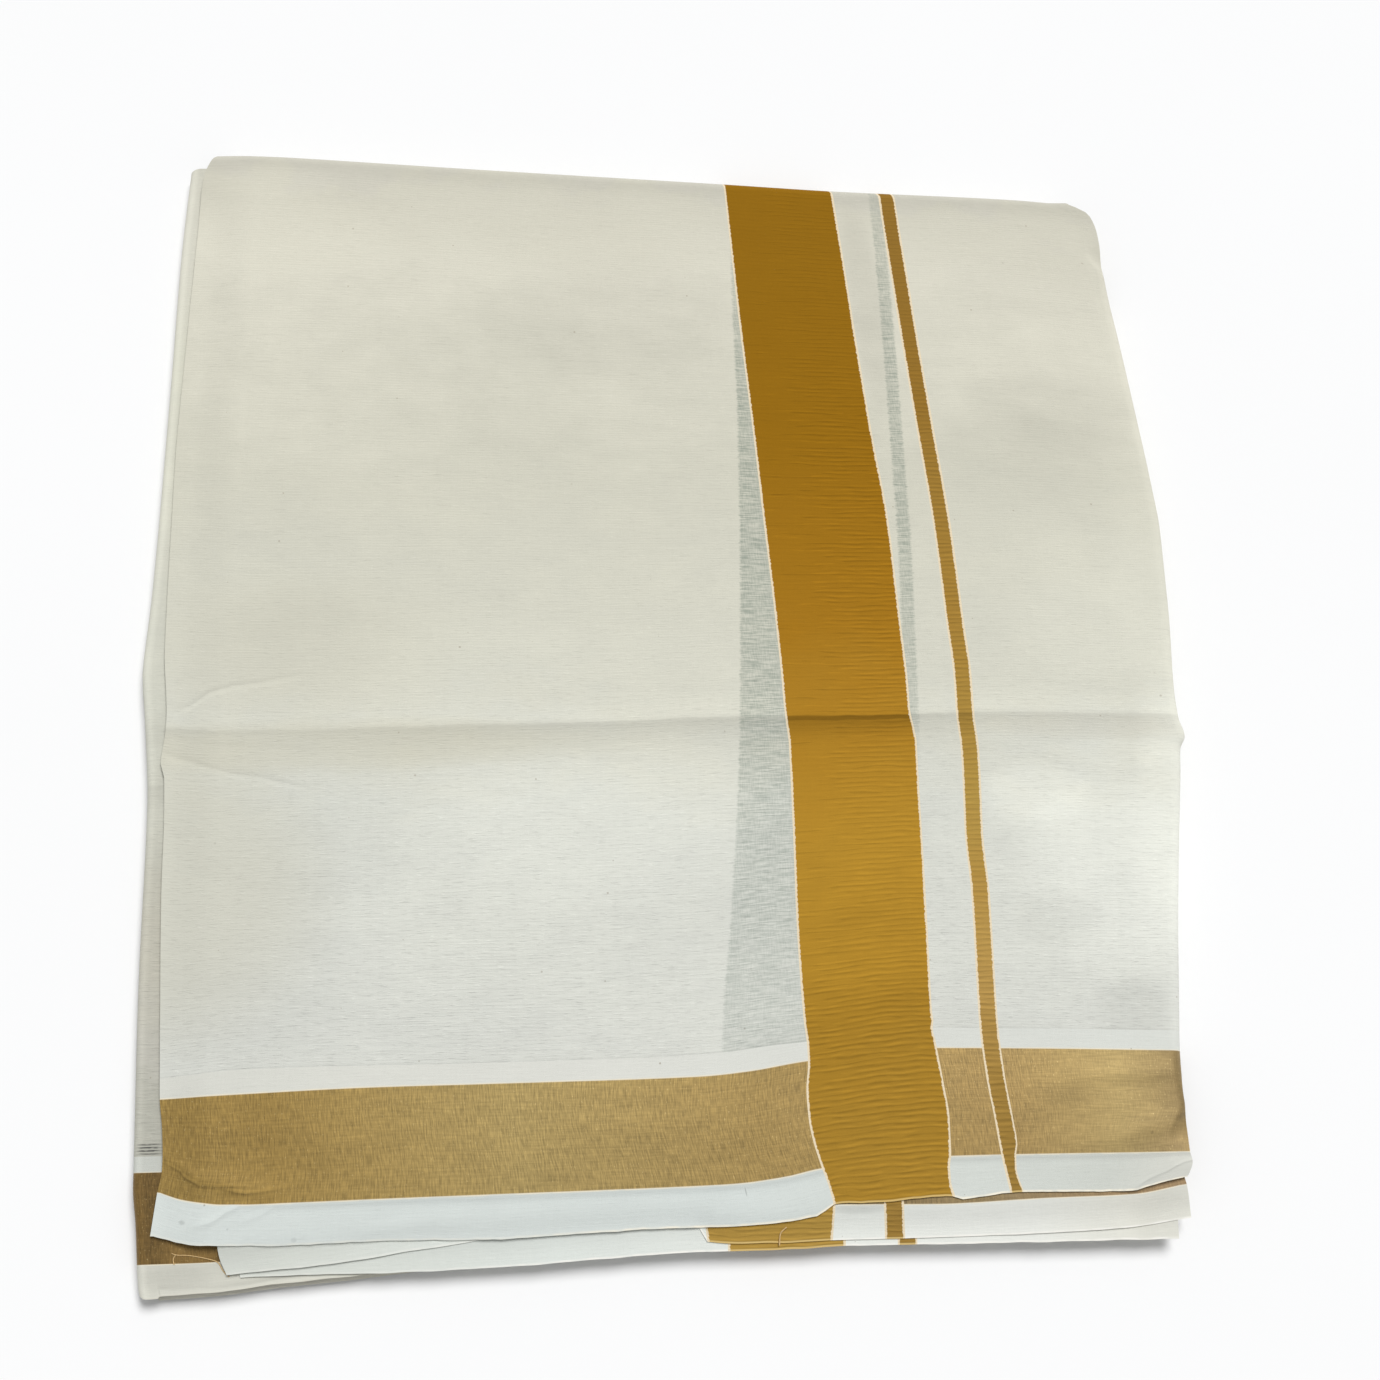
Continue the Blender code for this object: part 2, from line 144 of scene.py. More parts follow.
# ---- The folded stack, from the floor up ----

WALL = 1.2
GAP = 0.3
PITCH = WALL + GAP
CORE_THICKNESS = 3.6
BACK_MID = WALL / 2
SIDE_LOWER_MID = BACK_MID + PITCH
CORE_BOTTOM = SIDE_LOWER_MID + WALL / 2 + GAP
CORE_TOP = CORE_BOTTOM + CORE_THICKNESS
SIDE_UPPER_MID = CORE_TOP + GAP + WALL / 2
THIRD_MID = SIDE_UPPER_MID + PITCH
SECOND_MID = THIRD_MID + PITCH
FRONT_MID = SECOND_MID + PITCH

CROSS_FOLD_RADIUS = (FRONT_MID - BACK_MID) / 2
SIDE_FOLD_RADIUS = (SIDE_UPPER_MID - SIDE_LOWER_MID) / 2
SIDE_FOLD_CENTRE = (SIDE_UPPER_MID + SIDE_LOWER_MID) / 2
INNER_CLEARANCE = CROSS_FOLD_RADIUS + WALL / 2 + 3.0

# The cut's own sizes, across (warp count) and along (from a hem).
BAND_START, BAND_END = 265.0, 317.5
STRIPE_START, STRIPE_END = 339.0, 345.0
FACE_WIDTH = 435.0
MARGIN_END = 15.0
GOLD_END = 57.0
DENSE_END = 65.0
CREASE_PLACE = 205.0
FACE_LENGTH = 490.0

# Side edges: X for each Y.
FRONT_LEFT = Line(
    (-238.5, -197.3), (-222.3, -196.2), (-213.6, -195.1), (-198.2, -196.6), (-186.1, -198.7),
    (-170.7, -200.2), (-108, -206), (-52, -210.2), (-44, -212.4), (-30, -211.6), (6, -215.6),
    (68, -218.6), (113, -220.3), (240, -220.8), (252, -219.8), (258, -217.7), (263, -215.8),
)
FRONT_RIGHT = Line(
    (-216.5, 211.6), (-214.5, 213), (-209.9, 214.7), (-206.2, 214.2), (-198.2, 214.5), (-182.4, 214.3),
    (-165.9, 215), (-150, 216.3), (-116.8, 218.9), (-82.7, 222.3), (-47.5, 226.2), (-38, 227),
    (-32, 229.4), (-24, 227.2), (-11.5, 226.6), (26.3, 227.6), (65.1, 227.3), (84.9, 225.6),
    (125.6, 220.9), (167.6, 215.6), (196, 211.3), (218, 209.6), (228, 206.5), (234, 198),
)
SIDE_FOLD_LEFT = Line(
    (-262.2, -200.2), (-260.7, -200.9), (-257.1, -201.8), (-248.6, -202.9), (-234.4, -204.9),
    (-220.1, -207.4), (-214.4, -207.8), (-138, -213.6), (-61, -217.8), (-25, -222.5), (1, -226),
    (32, -225.4), (137, -227.1), (219, -228.9), (256, -228.5),
)
SECOND_LEFT = Line(
    (-256, -165.4), (-254.1, -166), (-247.4, -169.2), (-242, -170.4), (-40, -184), (255, -193),
)
SECOND_RIGHT_NEAR = Line((-234, 213.4), (-223, 212.6), (-216, 211.7))

# Woven lines of the front panel: X for each Y.
BAND_LEFT = Line(
    (-225.9, 72.6), (-219.7, 70.9), (-211.5, 67.9), (-201.3, 64.8), (-194.1, 63.5), (-182.9, 62.8),
    (-171.7, 63.7), (-165.1, 63.5), (-154.6, 62.3), (-113, 60.2), (-73, 59.4), (-37, 58.4), (-26, 57.1),
    (-18, 56.4), (-8, 55.8), (28, 52.8), (68, 48.9), (113, 44.6), (171, 38.7), (246, 32.1),
)
BAND_RIGHT = Line(
    (-223.2, 119), (-217.8, 117.6), (-212.4, 117.5), (-206.9, 118.3), (-194.1, 118.3), (-182.9, 117),
    (-171.7, 115.3), (-162.3, 113.8), (-158.5, 113), (-154.6, 113.5), (-150.6, 113), (-124, 112.8),
    (-84, 112.4), (-48, 111.8), (-37, 111.7), (-30, 110.7), (-26, 109.8), (-22, 109.2), (-12, 109),
    (24, 106.5), (68, 103.3), (113, 97.2), (166, 91), (197, 87.7), (243, 82.7),
)
STRIPE_LEFT = Line(
    (-221.5, 142.7), (-207.8, 139.9), (-194.3, 137.9), (-177, 135.3), (-153, 133.6), (-104, 133.3),
    (-75, 131.9), (-49, 132.2), (-38, 132), (-30, 131.2), (-24, 130.7), (-8, 130.6), (20, 128.5),
    (64, 125.2), (113, 119.7), (166, 113.8), (218, 108.6), (241, 106.5),
)
STRIPE_RIGHT = Line(
    (-221.5, 146.5), (-212.8, 144.2), (-207.8, 144.3), (-203.6, 145), (-194.3, 143.9), (-177, 141.4),
    (-153, 139.7), (-104, 139.4), (-75, 138), (-49, 138.3), (-38, 138.1), (-30, 137.3), (-24, 136.8),
    (-8, 136.7), (20, 134.6), (64, 131.3), (113, 125.8), (166, 119.9), (218, 114.7), (241, 112.6),
)

# Woven lines across it: Y for each X.
FRONT_HEM = Line(
    (-196, -238.6), (-191.3, -239.7), (-185.5, -241.2), (-179.8, -242), (-168.5, -242.2),
    (-149.7, -242.2), (-114.1, -240.6), (-95.4, -240.1), (-67.1, -239.9), (-24.1, -237.4), (5.2, -235.7),
    (31.7, -234.9), (49.4, -233.6), (61, -231.8), (66.5, -230.5), (69, -228.6), (72.7, -226.5),
    (91, -225.7), (118.6, -223.5), (122.9, -224.6), (131.7, -223.5), (145, -222), (190.5, -221.5),
    (194.8, -220.3), (202.5, -218), (211.6, -216),
)
GOLD_NEAR = Line(
    (-195.4, -222.1), (-192.2, -223.2), (-186.1, -224.9), (-178.1, -226.1), (-170.1, -226.8),
    (-162.3, -226.8), (-142.6, -226.1), (-99.3, -224.3), (-59.9, -222.8), (14, -219.9), (34, -218.8),
    (53, -216.2), (68, -212.9), (119, -208.2), (213, -206.5),
)
GOLD_FAR = Line(
    (-199, -186.1), (-159, -183.8), (-111, -181.5), (-63, -180.1), (19, -177.3), (39, -175.2),
    (63, -171.1), (115, -165.9), (214, -166.7),
)
DENSE_FAR = Line(
    (-199, -177.8), (-163, -174.3), (-71, -172), (-16, -170.3), (28, -167.9), (46, -165.3), (62, -163.5),
    (115, -157.9), (214, -158.7),
)
CREASE_LINE = Line(
    (-213, -29.7), (-207, -30.2), (-185, -31.8), (-131, -31.2), (-77, -29.4), (-34, -28.7), (-2, -27.6),
    (30, -26.2), (95, -25.3), (149, -23.9), (192, -24.2), (227, -24.2),
)
CROSS_FOLD = Line(
    (-221, 264.4), (-205, 264.7), (-189, 264.2), (-170, 263), (-150, 261.5), (-90, 257), (32, 248.4),
    (84, 244.5), (174, 239.4), (209, 235.4),
)

# The other hems: Y for each X.
SECOND_HEM = Line(
    (-168, -253.9), (-157.9, -252.8), (-136.4, -250.8), (-123.4, -249.1), (-114.1, -248),
    (-100.1, -245.5), (-73, -241.5), (-58, -238.6), (-20, -235.6), (14, -234.8), (20.8, -235.4),
    (22, -241.3), (31, -242), (50, -241.8), (71, -240.8), (110, -239.8), (185, -236.2), (213, -232.2),
)
THIRD_HEM = Line(
    (-164, -254.6), (-134.7, -253.4), (-106, -252.8), (-56, -250.4), (-10, -246.8), (19, -244.9),
    (31, -244.6), (57.6, -243.8), (76.1, -242.6), (110, -242), (155, -241.1), (208, -239.8),
)
SIDE_FOLD_HEM = Line(
    (-203.4, -252), (-202.2, -257.2), (-200.9, -260.7), (-197.9, -262.1), (-190.4, -261.7),
    (-178.2, -260.8), (-166.9, -259.9), (-149.1, -257.5), (-118, -254.3), (-95, -251.4), (-30, -245),
    (76, -239), (205, -236),
)
SIDE_UPPER_HEM = SIDE_FOLD_HEM.moved(0.8)

# How far the second end's hem settles, for each X.
SECOND_DROOP = Line((-170, 2), (-60, 1.4), (16, 1.4), (24, 2.15), (110, 2.15), (160, 1.9), (213, 1.8))

# The layer beneath the front panel: its border's left edge and its stripe's, X for each Y.
BENEATH_BAND_LEFT = Line(
    (-168, 28.1), (-148, 29.1), (-113, 32.2), (-77, 34.6), (-25, 36.8), (52, 37.5), (113, 37.1),
    (171, 35.3), (245, 33.5),
)
BENEATH_STRIPE_LEFT = Line(
    (-168, 97), (-100, 104), (-33, 108), (52, 108.2), (89, 107.2), (149, 105.3), (216, 102.5), (241, 101),
)

# The second end's own border, stripe and gold band.
SECOND_BAND_LEFT = Line(
    (-242, 22.9), (-234, 22.1), (-226, 23), (-205, 25.2), (-168, 28.1), (52, 37.5), (245, 33.5),
)
SECOND_BAND_RIGHT = Line((-242, 70.4), (-168, 77), (52, 88), (245, 81))
SECOND_STRIPE_LEFT = Line(
    (-242, 92.9), (-205, 92.4), (-168, 97), (-100, 104), (-33, 108), (52, 108.2), (241, 101),
)
SECOND_GOLD_NEAR = Line(
    (-168, -238.9), (-63, -224.6), (24, -227), (76, -226.6), (110, -226.5), (155.6, -224.2),
    (190.5, -222.7), (211.5, -218.9),
)

# The lowest visible end: its gold band and dense strip, which run on round the side fold.
SIDE_GOLD_NEAR = Line((-206, -249.5), (-170, -248.2), (-100, -238), (205, -222))
SIDE_GOLD_FAR = Line((-206, -214.5), (-170, -213.4), (-100, -204), (205, -187))
SIDE_DENSE_FAR = Line((-206, -208.3), (-170, -207.2), (-100, -198), (205, -181))


# ---- Creases and the lie of the cloth ----


class CreaseShape(Enum):
    """How a crease falls off from its line."""

    SOFT = "soft"
    SHARP = "sharp"


@dataclass(frozen=True)
class Crease:
    """A ridge along a line from left to right, or a trough where its heights are below zero.

    Attributes:
        rows: (X, Y, height) of points on its line.
        near: half width on the -Y side.
        far: half width on the +Y side.
        shape: how it falls off.
    """

    rows: tuple[Triple, ...]
    near: float
    far: float
    shape: CreaseShape = CreaseShape.SOFT

    def height(self, x: Array, y: Array) -> Array:
        """Height of the crease at each point.

        Args:
            x: places across.
            y: places along.

        Returns:
            How far it lifts the cloth there.
        """
        nearest = np.full(x.shape, np.inf)
        side = np.zeros(x.shape)
        tall = np.zeros(x.shape)
        for (x0, y0, h0), (x1, y1, h1) in zip(self.rows, self.rows[1:]):
            dx, dy = x1 - x0, y1 - y0
            t = np.clip(((x - x0) * dx + (y - y0) * dy) / (dx * dx + dy * dy), 0.0, 1.0)
            off_x, off_y = x - x0 - t * dx, y - y0 - t * dy
            away = np.hypot(off_x, off_y)
            closer = away < nearest
            nearest = np.where(closer, away, nearest)
            side = np.where(closer, dx * off_y - dy * off_x, side)
            tall = np.where(closer, mix(h0, h1, t), tall)
        share = nearest / np.where(side > 0, self.far, self.near)
        power = 1.0 if self.shape is CreaseShape.SHARP else 2.0
        return tall * np.exp(-(share**power))


def crease(near: float, far: float, *rows: Triple, shape: CreaseShape = CreaseShape.SOFT) -> Crease:
    """Make a crease through these rows."""
    return Crease(rows, near, far, shape)


FRONT_CREASES: tuple[Crease, ...] = (
    crease(
        6.5, 22.0, (-213, -29.7, 0.45), (-185, -31.8, 0.6), (-150, -31.5, 0.95), (-97, -30.2, 1.4),
        (-34, -28.7, 1.6), (30, -26.2, 1.6), (95, -25.3, 1.5), (149, -23.9, 1.6), (192, -24.2, 1.4),
        (227, -24.4, 1), shape=CreaseShape.SHARP,
    ),
    crease(
        1.8, 2.6, (-211.6, -22.3, -0.1), (-202.3, -19.5, -0.4), (-194.1, -13.6, -0.45),
        (-184.3, -10.7, -0.4), (-174.3, -9.6, -0.3), (-161.9, -7.4, -0.15), (-150, -6, 0),
    ),
    crease(
        2.0, 2.4, (-210.2, -40.9, -0.15), (-206.4, -42.4, -0.35), (-193.6, -46.3, -0.5),
        (-180.9, -50.2, -0.4), (-170.9, -51.4, -0.3), (-162.1, -53.4, -0.2), (-148, -56.6, 0),
    ),
    crease(1.6, 2.6, (-211, -29.5, 0.3), (-196, -30, 0.22), (-180, -28.5, 0.12), (-160, -28, 0)),
    crease(
        1.3, 3.4, (-194, -209.6, 0.1), (-188, -212.2, 0.4), (-185.5, -214.8, 0.5), (-179.5, -217.8, 0.5),
        (-172.6, -218.4, 0.4), (-163.4, -218.9, 0.3), (-150, -219.5, 0),
    ),
    crease(1.2, 2.2, (-174, -220.6, 0), (-165.5, -221.2, 0.35), (-160.8, -221.9, 0.4), (-148, -220.4, 0)),
    crease(
        3.4, 2.6, (-181, -239.5, 0.1), (-175.6, -235.6, 0.4), (-169.9, -233, 0.5), (-163.2, -228.1, 0.4),
        (-157.5, -223.5, 0.1),
    ),
    crease(2.8, 2.8, (-122, -239.5, 0), (-108, -236, 0.3), (-92, -233.5, 0.25), (-70, -232, 0)),
    crease(
        2.6, 2.2, (186, -223, 0.1), (192.4, -219.4, 0.5), (199.9, -214.6, 0.6), (206.8, -210.8, 0.5),
        (214, -208.8, 0.4),
    ),
    crease(3.4, 5.0, (172, -203, 0), (190, -199.6, 0.3), (203.2, -195.8, 0.45), (214.5, -192.5, 0.3)),
    crease(3.0, 4.5, (160, -179, 0), (180, -177, 0.25), (200, -176, 0.3), (214.5, -175.5, 0.2)),
    crease(
        14.0, 20.0, (-214, 204, 0.15), (-122.2, 199.3, 0.3), (-8.5, 194.9, 0.35), (161.5, 190.6, 0.3),
        (212, 188.5, 0.15),
    ),
    crease(22.0, 30.0, (-160, 150, 0), (-90, 120, 0.25), (-20, 96, 0.2), (40, 84, 0)),
    crease(18.0, 24.0, (120, 118, 0), (165, 60, 0.25), (196, 8, 0)),
    crease(20.0, 16.0, (-190, -120, 0), (-120, -132, 0.28), (-30, -120, 0.22), (30, -128, 0)),
)


def ripple(x: Array, y: Array, wide: float, deep: float, seed: float) -> Array:
    """Smooth uneven waves of about one size.

    Args:
        x: places across.
        y: places along.
        wide: size of a wave across.
        deep: size of a wave along.
        seed: which waves.

    Returns:
        Heights from about -1 to 1.
    """
    return np.array([noise.noise((a / wide, b / deep, seed)) for a, b in zip(x, y)])


# A sheet's cloth is thinner than its solid's wall, and lies to one side of the wall's middle.
CLOTH = 0.5
LIE = (WALL - CLOTH) / 2

CROWN = 1.4
CROWN_LEFT, CROWN_RIGHT, CROWN_HEM, CROWN_FOLD = 60.0, 47.0, 45.0, 70.0
CROWN_RIGHT_END = 212.0
# Past the second end's left edge the face sags, on a slope, and less so by the crosswise fold.
SAG_DROP = FRONT_MID - SIDE_UPPER_MID - PITCH - 0.8
SAG_SLOPE, SAG_FOLD = 22.0, 35.0
# The near right corner lifts, past the first of these values of X - Y and up to the last.
CORNER_LIFT, CORNER_START, CORNER_FULL = 1.3, 400.0, 426.0
# The hem settles by itself, follows what settles beneath it, and wanders a little.
HEM_SETTLES, HEM_FOLLOWS, HEM_WANDERS = 0.14, 0.92, 0.2
# Soft swells of three sizes.
SWELL, SMALL_SWELL, FINE_SWELL = 0.34, 0.12, 0.035
FOLD_REACH = CROSS_FOLD_RADIUS + WALL / 2


def fold_start(x: Array) -> Array:
    """Y where the crosswise fold begins, for each X."""
    return CROSS_FOLD(x) - FOLD_REACH


def front_height(x: Array, y: Array) -> Array:
    """Mid height of the front cloth's face, before its right edge rolls over.

    Args:
        x: places across.
        y: places along.

    Returns:
        Its height at each of them.
    """
    hem, fold = FRONT_HEM(x), fold_start(x)
    sag_start = SECOND_LEFT(y) - 2.0
    sag = SAG_DROP * smooth(x, sag_start, sag_start - SAG_SLOPE) * smooth(y, fold, fold - SAG_FOLD)
    crown = smooth(x, sag_start, sag_start + CROWN_LEFT)
    crown = crown * smooth(x, CROWN_RIGHT_END, CROWN_RIGHT_END - CROWN_RIGHT)
    crown = crown * smooth(y, hem, hem + CROWN_HEM) * smooth(y, fold, fold - CROWN_FOLD)
    inner = smooth(y, fold, fold - 20.0)
    creases = sum(ridge.height(x, y) for ridge in FRONT_CREASES) * inner
    lift = CORNER_LIFT * smooth(x - y, CORNER_START, CORNER_FULL)
    waves = SWELL * ripple(x, y, 62.0, 48.0, 3.1) + SMALL_SWELL * ripple(x, y, 21.0, 27.0, 7.7)
    waves = waves * (0.35 + 0.65 * crown) + FINE_SWELL * ripple(x, y, 8.0, 7.0, 12.4)
    wander = 0.08 + HEM_WANDERS * ripple(x, y * 0, 26.0, 1.0, 21.3)
    hem_wave = wander * smooth(y, hem + 15.0, hem)
    raised = CROWN * crown + creases + lift + waves * inner + hem_wave
    rests = smooth(x, -178.0, -158.0) * smooth(x - y, 422.0, 400.0)
    under = SECOND_DROOP(x) * smooth(y - SECOND_HEM(x), 16.0, 0.0)
    settled = (HEM_SETTLES + HEM_FOLLOWS * under) * rests * smooth(y, hem + 11.0, hem)
    return FRONT_MID - LIE - sag + np.maximum(raised, -0.12) - settled


# ---- Woven sheets ----

Reader = Callable[[Array], Array]
Placer = Callable[[Array, Array], Places]

# The threads that are followed, by their count: warp threads and weft threads.
WARPS = (BAND_START, BAND_END, STRIPE_START, STRIPE_END)
WEFTS = (0.0, MARGIN_END, GOLD_END, DENSE_END, FACE_LENGTH)
FACE_WEFTS = (*WEFTS[:-1], CREASE_PLACE, FACE_LENGTH)
# X and Y hang on each other where threads slant, so each is read again this many times.
SETTLING_ROUNDS, PLAN_ROUNDS = 14, 8


def between(counts: Sequence[float], lines: Sequence[Reader], place: Array, other: Array) -> Array:
    """Read a bundle of thread lines between its threads.

    Args:
        counts: of the threads, in rising order.
        lines: where each of them lies.
        place: counts to read.
        other: place along the threads.

    Returns:
        Where the thread of each count lies.
    """
    counts = np.array(counts)
    values = np.stack([line(other) for line in lines])
    low = np.clip(np.searchsorted(counts, place, side="right") - 1, 0, len(counts) - 2)
    share = (place - counts[low]) / (counts[low + 1] - counts[low])
    index = np.arange(len(place))
    return mix(values[low, index], values[low + 1, index], share)


class Zone(Enum):
    """The finishes of one cloth, by their material slot."""

    GROUND = 0
    DENSE = 1
    BORDER = 2
    GOLD = 3


# Added to Y, this gives a hidden layer a distance from the hem that is ground all over.
PLAIN_GROUND = 400.0
# Width of the cream hairlines beside border and stripe, and of a column of the grid there.
HAIRLINE, COLUMN = 0.85, 3.2


def zone_of(across: float, along: float) -> Zone:
    """Which weave lies at a place of the cut.

    Args:
        across: warp count.
        along: distance from the hem.

    Returns:
        The zone there. The border runs over the gold band.
    """
    for start, end in ((BAND_START, BAND_END), (STRIPE_START, STRIPE_END)):
        if start - HAIRLINE < across < end + HAIRLINE:
            return Zone.BORDER
    if MARGIN_END < along < GOLD_END:
        return Zone.GOLD
    return Zone.DENSE if along < DENSE_END else Zone.GROUND


def border_columns(before: float, steps: int) -> list[tuple[float, int]]:
    """Zones of grid columns from a place before the border to just past its stripe.

    Args:
        before: the place.
        steps: how many columns lead up to it.

    Returns:
        (end, number of steps) of each zone.
    """
    return [
        (before, steps), (BAND_START - HAIRLINE, max(2, round((BAND_START - before) / COLUMN))),
        (BAND_START, 1), (BAND_END, 18), (BAND_END + HAIRLINE, 1), (STRIPE_START - HAIRLINE, 7),
        (STRIPE_START, 1), (STRIPE_END, 3), (STRIPE_END + HAIRLINE, 1),
    ]


def placed(name: str, data: ID) -> Object:
    """Put an object with this data into the scene.

    Args:
        name: its name.
        data: its mesh, curve, lamp or camera.

    Returns:
        The object.
    """
    thing = bpy.data.objects.new(name, data)
    bpy.context.scene.collection.objects.link(thing)
    return thing


@dataclass
class Sheet:
    """One stretch of woven cloth, laid on a grid of its own cut.

    Attributes:
        name: the piece's name.
        columns: warp counts of the grid lines.
        rows: distances from the hem of the grid lines.
        place: gives X, Y and Z for warp counts and distances from the hem.
        thickness: of the cloth.
        beneath: a second reading at X and Y for its finishes: the warp count of the layer beneath,
            where that shows through, or how far out past a covering hem a point lies.
        counted: whether columns and rows are counts of threads, or only shares of a hidden layer.
    """

    name: str
    columns: Array
    rows: Array
    place: Placer
    thickness: float = CLOTH
    beneath: Optional[Callable[[Array, Array], Array]] = None
    counted: bool = True

    def build(self) -> Object:
        """Make the sheet's mesh, its thread coordinates and its wall.

        Returns:
            The finished object, at the origin.
        """
        bm = bmesh.new()
        last_column, last_row = len(self.columns) - 1, len(self.rows) - 1
        bmesh.ops.create_grid(bm, x_segments=last_column, y_segments=last_row, size=0.5)
        bm.verts.ensure_lookup_table()
        u = np.array([vert.co.x + 0.5 for vert in bm.verts])
        v = np.array([vert.co.y + 0.5 for vert in bm.verts])
        across = self.columns[np.rint(u * last_column).astype(int)]
        along = self.rows[np.rint(v * last_row).astype(int)]
        x, y, z = self.place(across, along)
        for vert, place in zip(bm.verts, np.stack([x, y, z], axis=1) * MM):
            vert.co = place
        if not self.counted:
            across, along = x, y + PLAIN_GROUND
        self._mark(bm, across, along, x, y)
        mesh = bpy.data.meshes.new(self.name)
        bm.to_mesh(mesh)
        bm.free()
        mesh.shade_smooth()
        thing = placed(self.name, mesh)
        wall = thing.modifiers.new("cloth", "SOLIDIFY")
        wall.thickness = self.thickness * MM
        wall.offset = 0.0
        return thing

    def _mark(self, bm: bmesh.types.BMesh, across: Array, along: Array, x: Array, y: Array) -> None:
        """Write thread coordinates and zones, and keep the edges of the cloth crisp.

        Args:
            bm: the sheet's mesh.
            across: warp counts.
            along: distances from the hem.
            x: places across.
            y: places along.
        """
        threads = bm.loops.layers.uv.new("cloth")
        under = bm.loops.layers.uv.new("beneath") if self.beneath else None
        count_beneath = self.beneath(x, y) if self.beneath else None
        for face in bm.faces:
            ids = [loop.vert.index for loop in face.loops]
            centre = zone_of(float(np.mean(across[ids])), abs(float(np.mean(along[ids]))))
            face.material_index = centre.value
            for loop, i in zip(face.loops, ids):
                loop[threads].uv = (across[i] * MM, along[i] * MM)
                if under is not None:
                    loop[under].uv = (count_beneath[i] * MM, y[i] * MM)
        for edge in bm.edges:
            edge.smooth = not edge.is_boundary


def dress(thing: Object, finishes: Sequence[Material]) -> None:
    """Give a sheet its finishes, in the order of its zones.

    Args:
        thing: the sheet.
        finishes: its materials.
    """
    for finish in finishes:
        thing.data.materials.append(finish)
    if thing.type == "MESH" and len(finishes) < len(Zone):
        for face in thing.data.polygons:
            face.material_index = 0


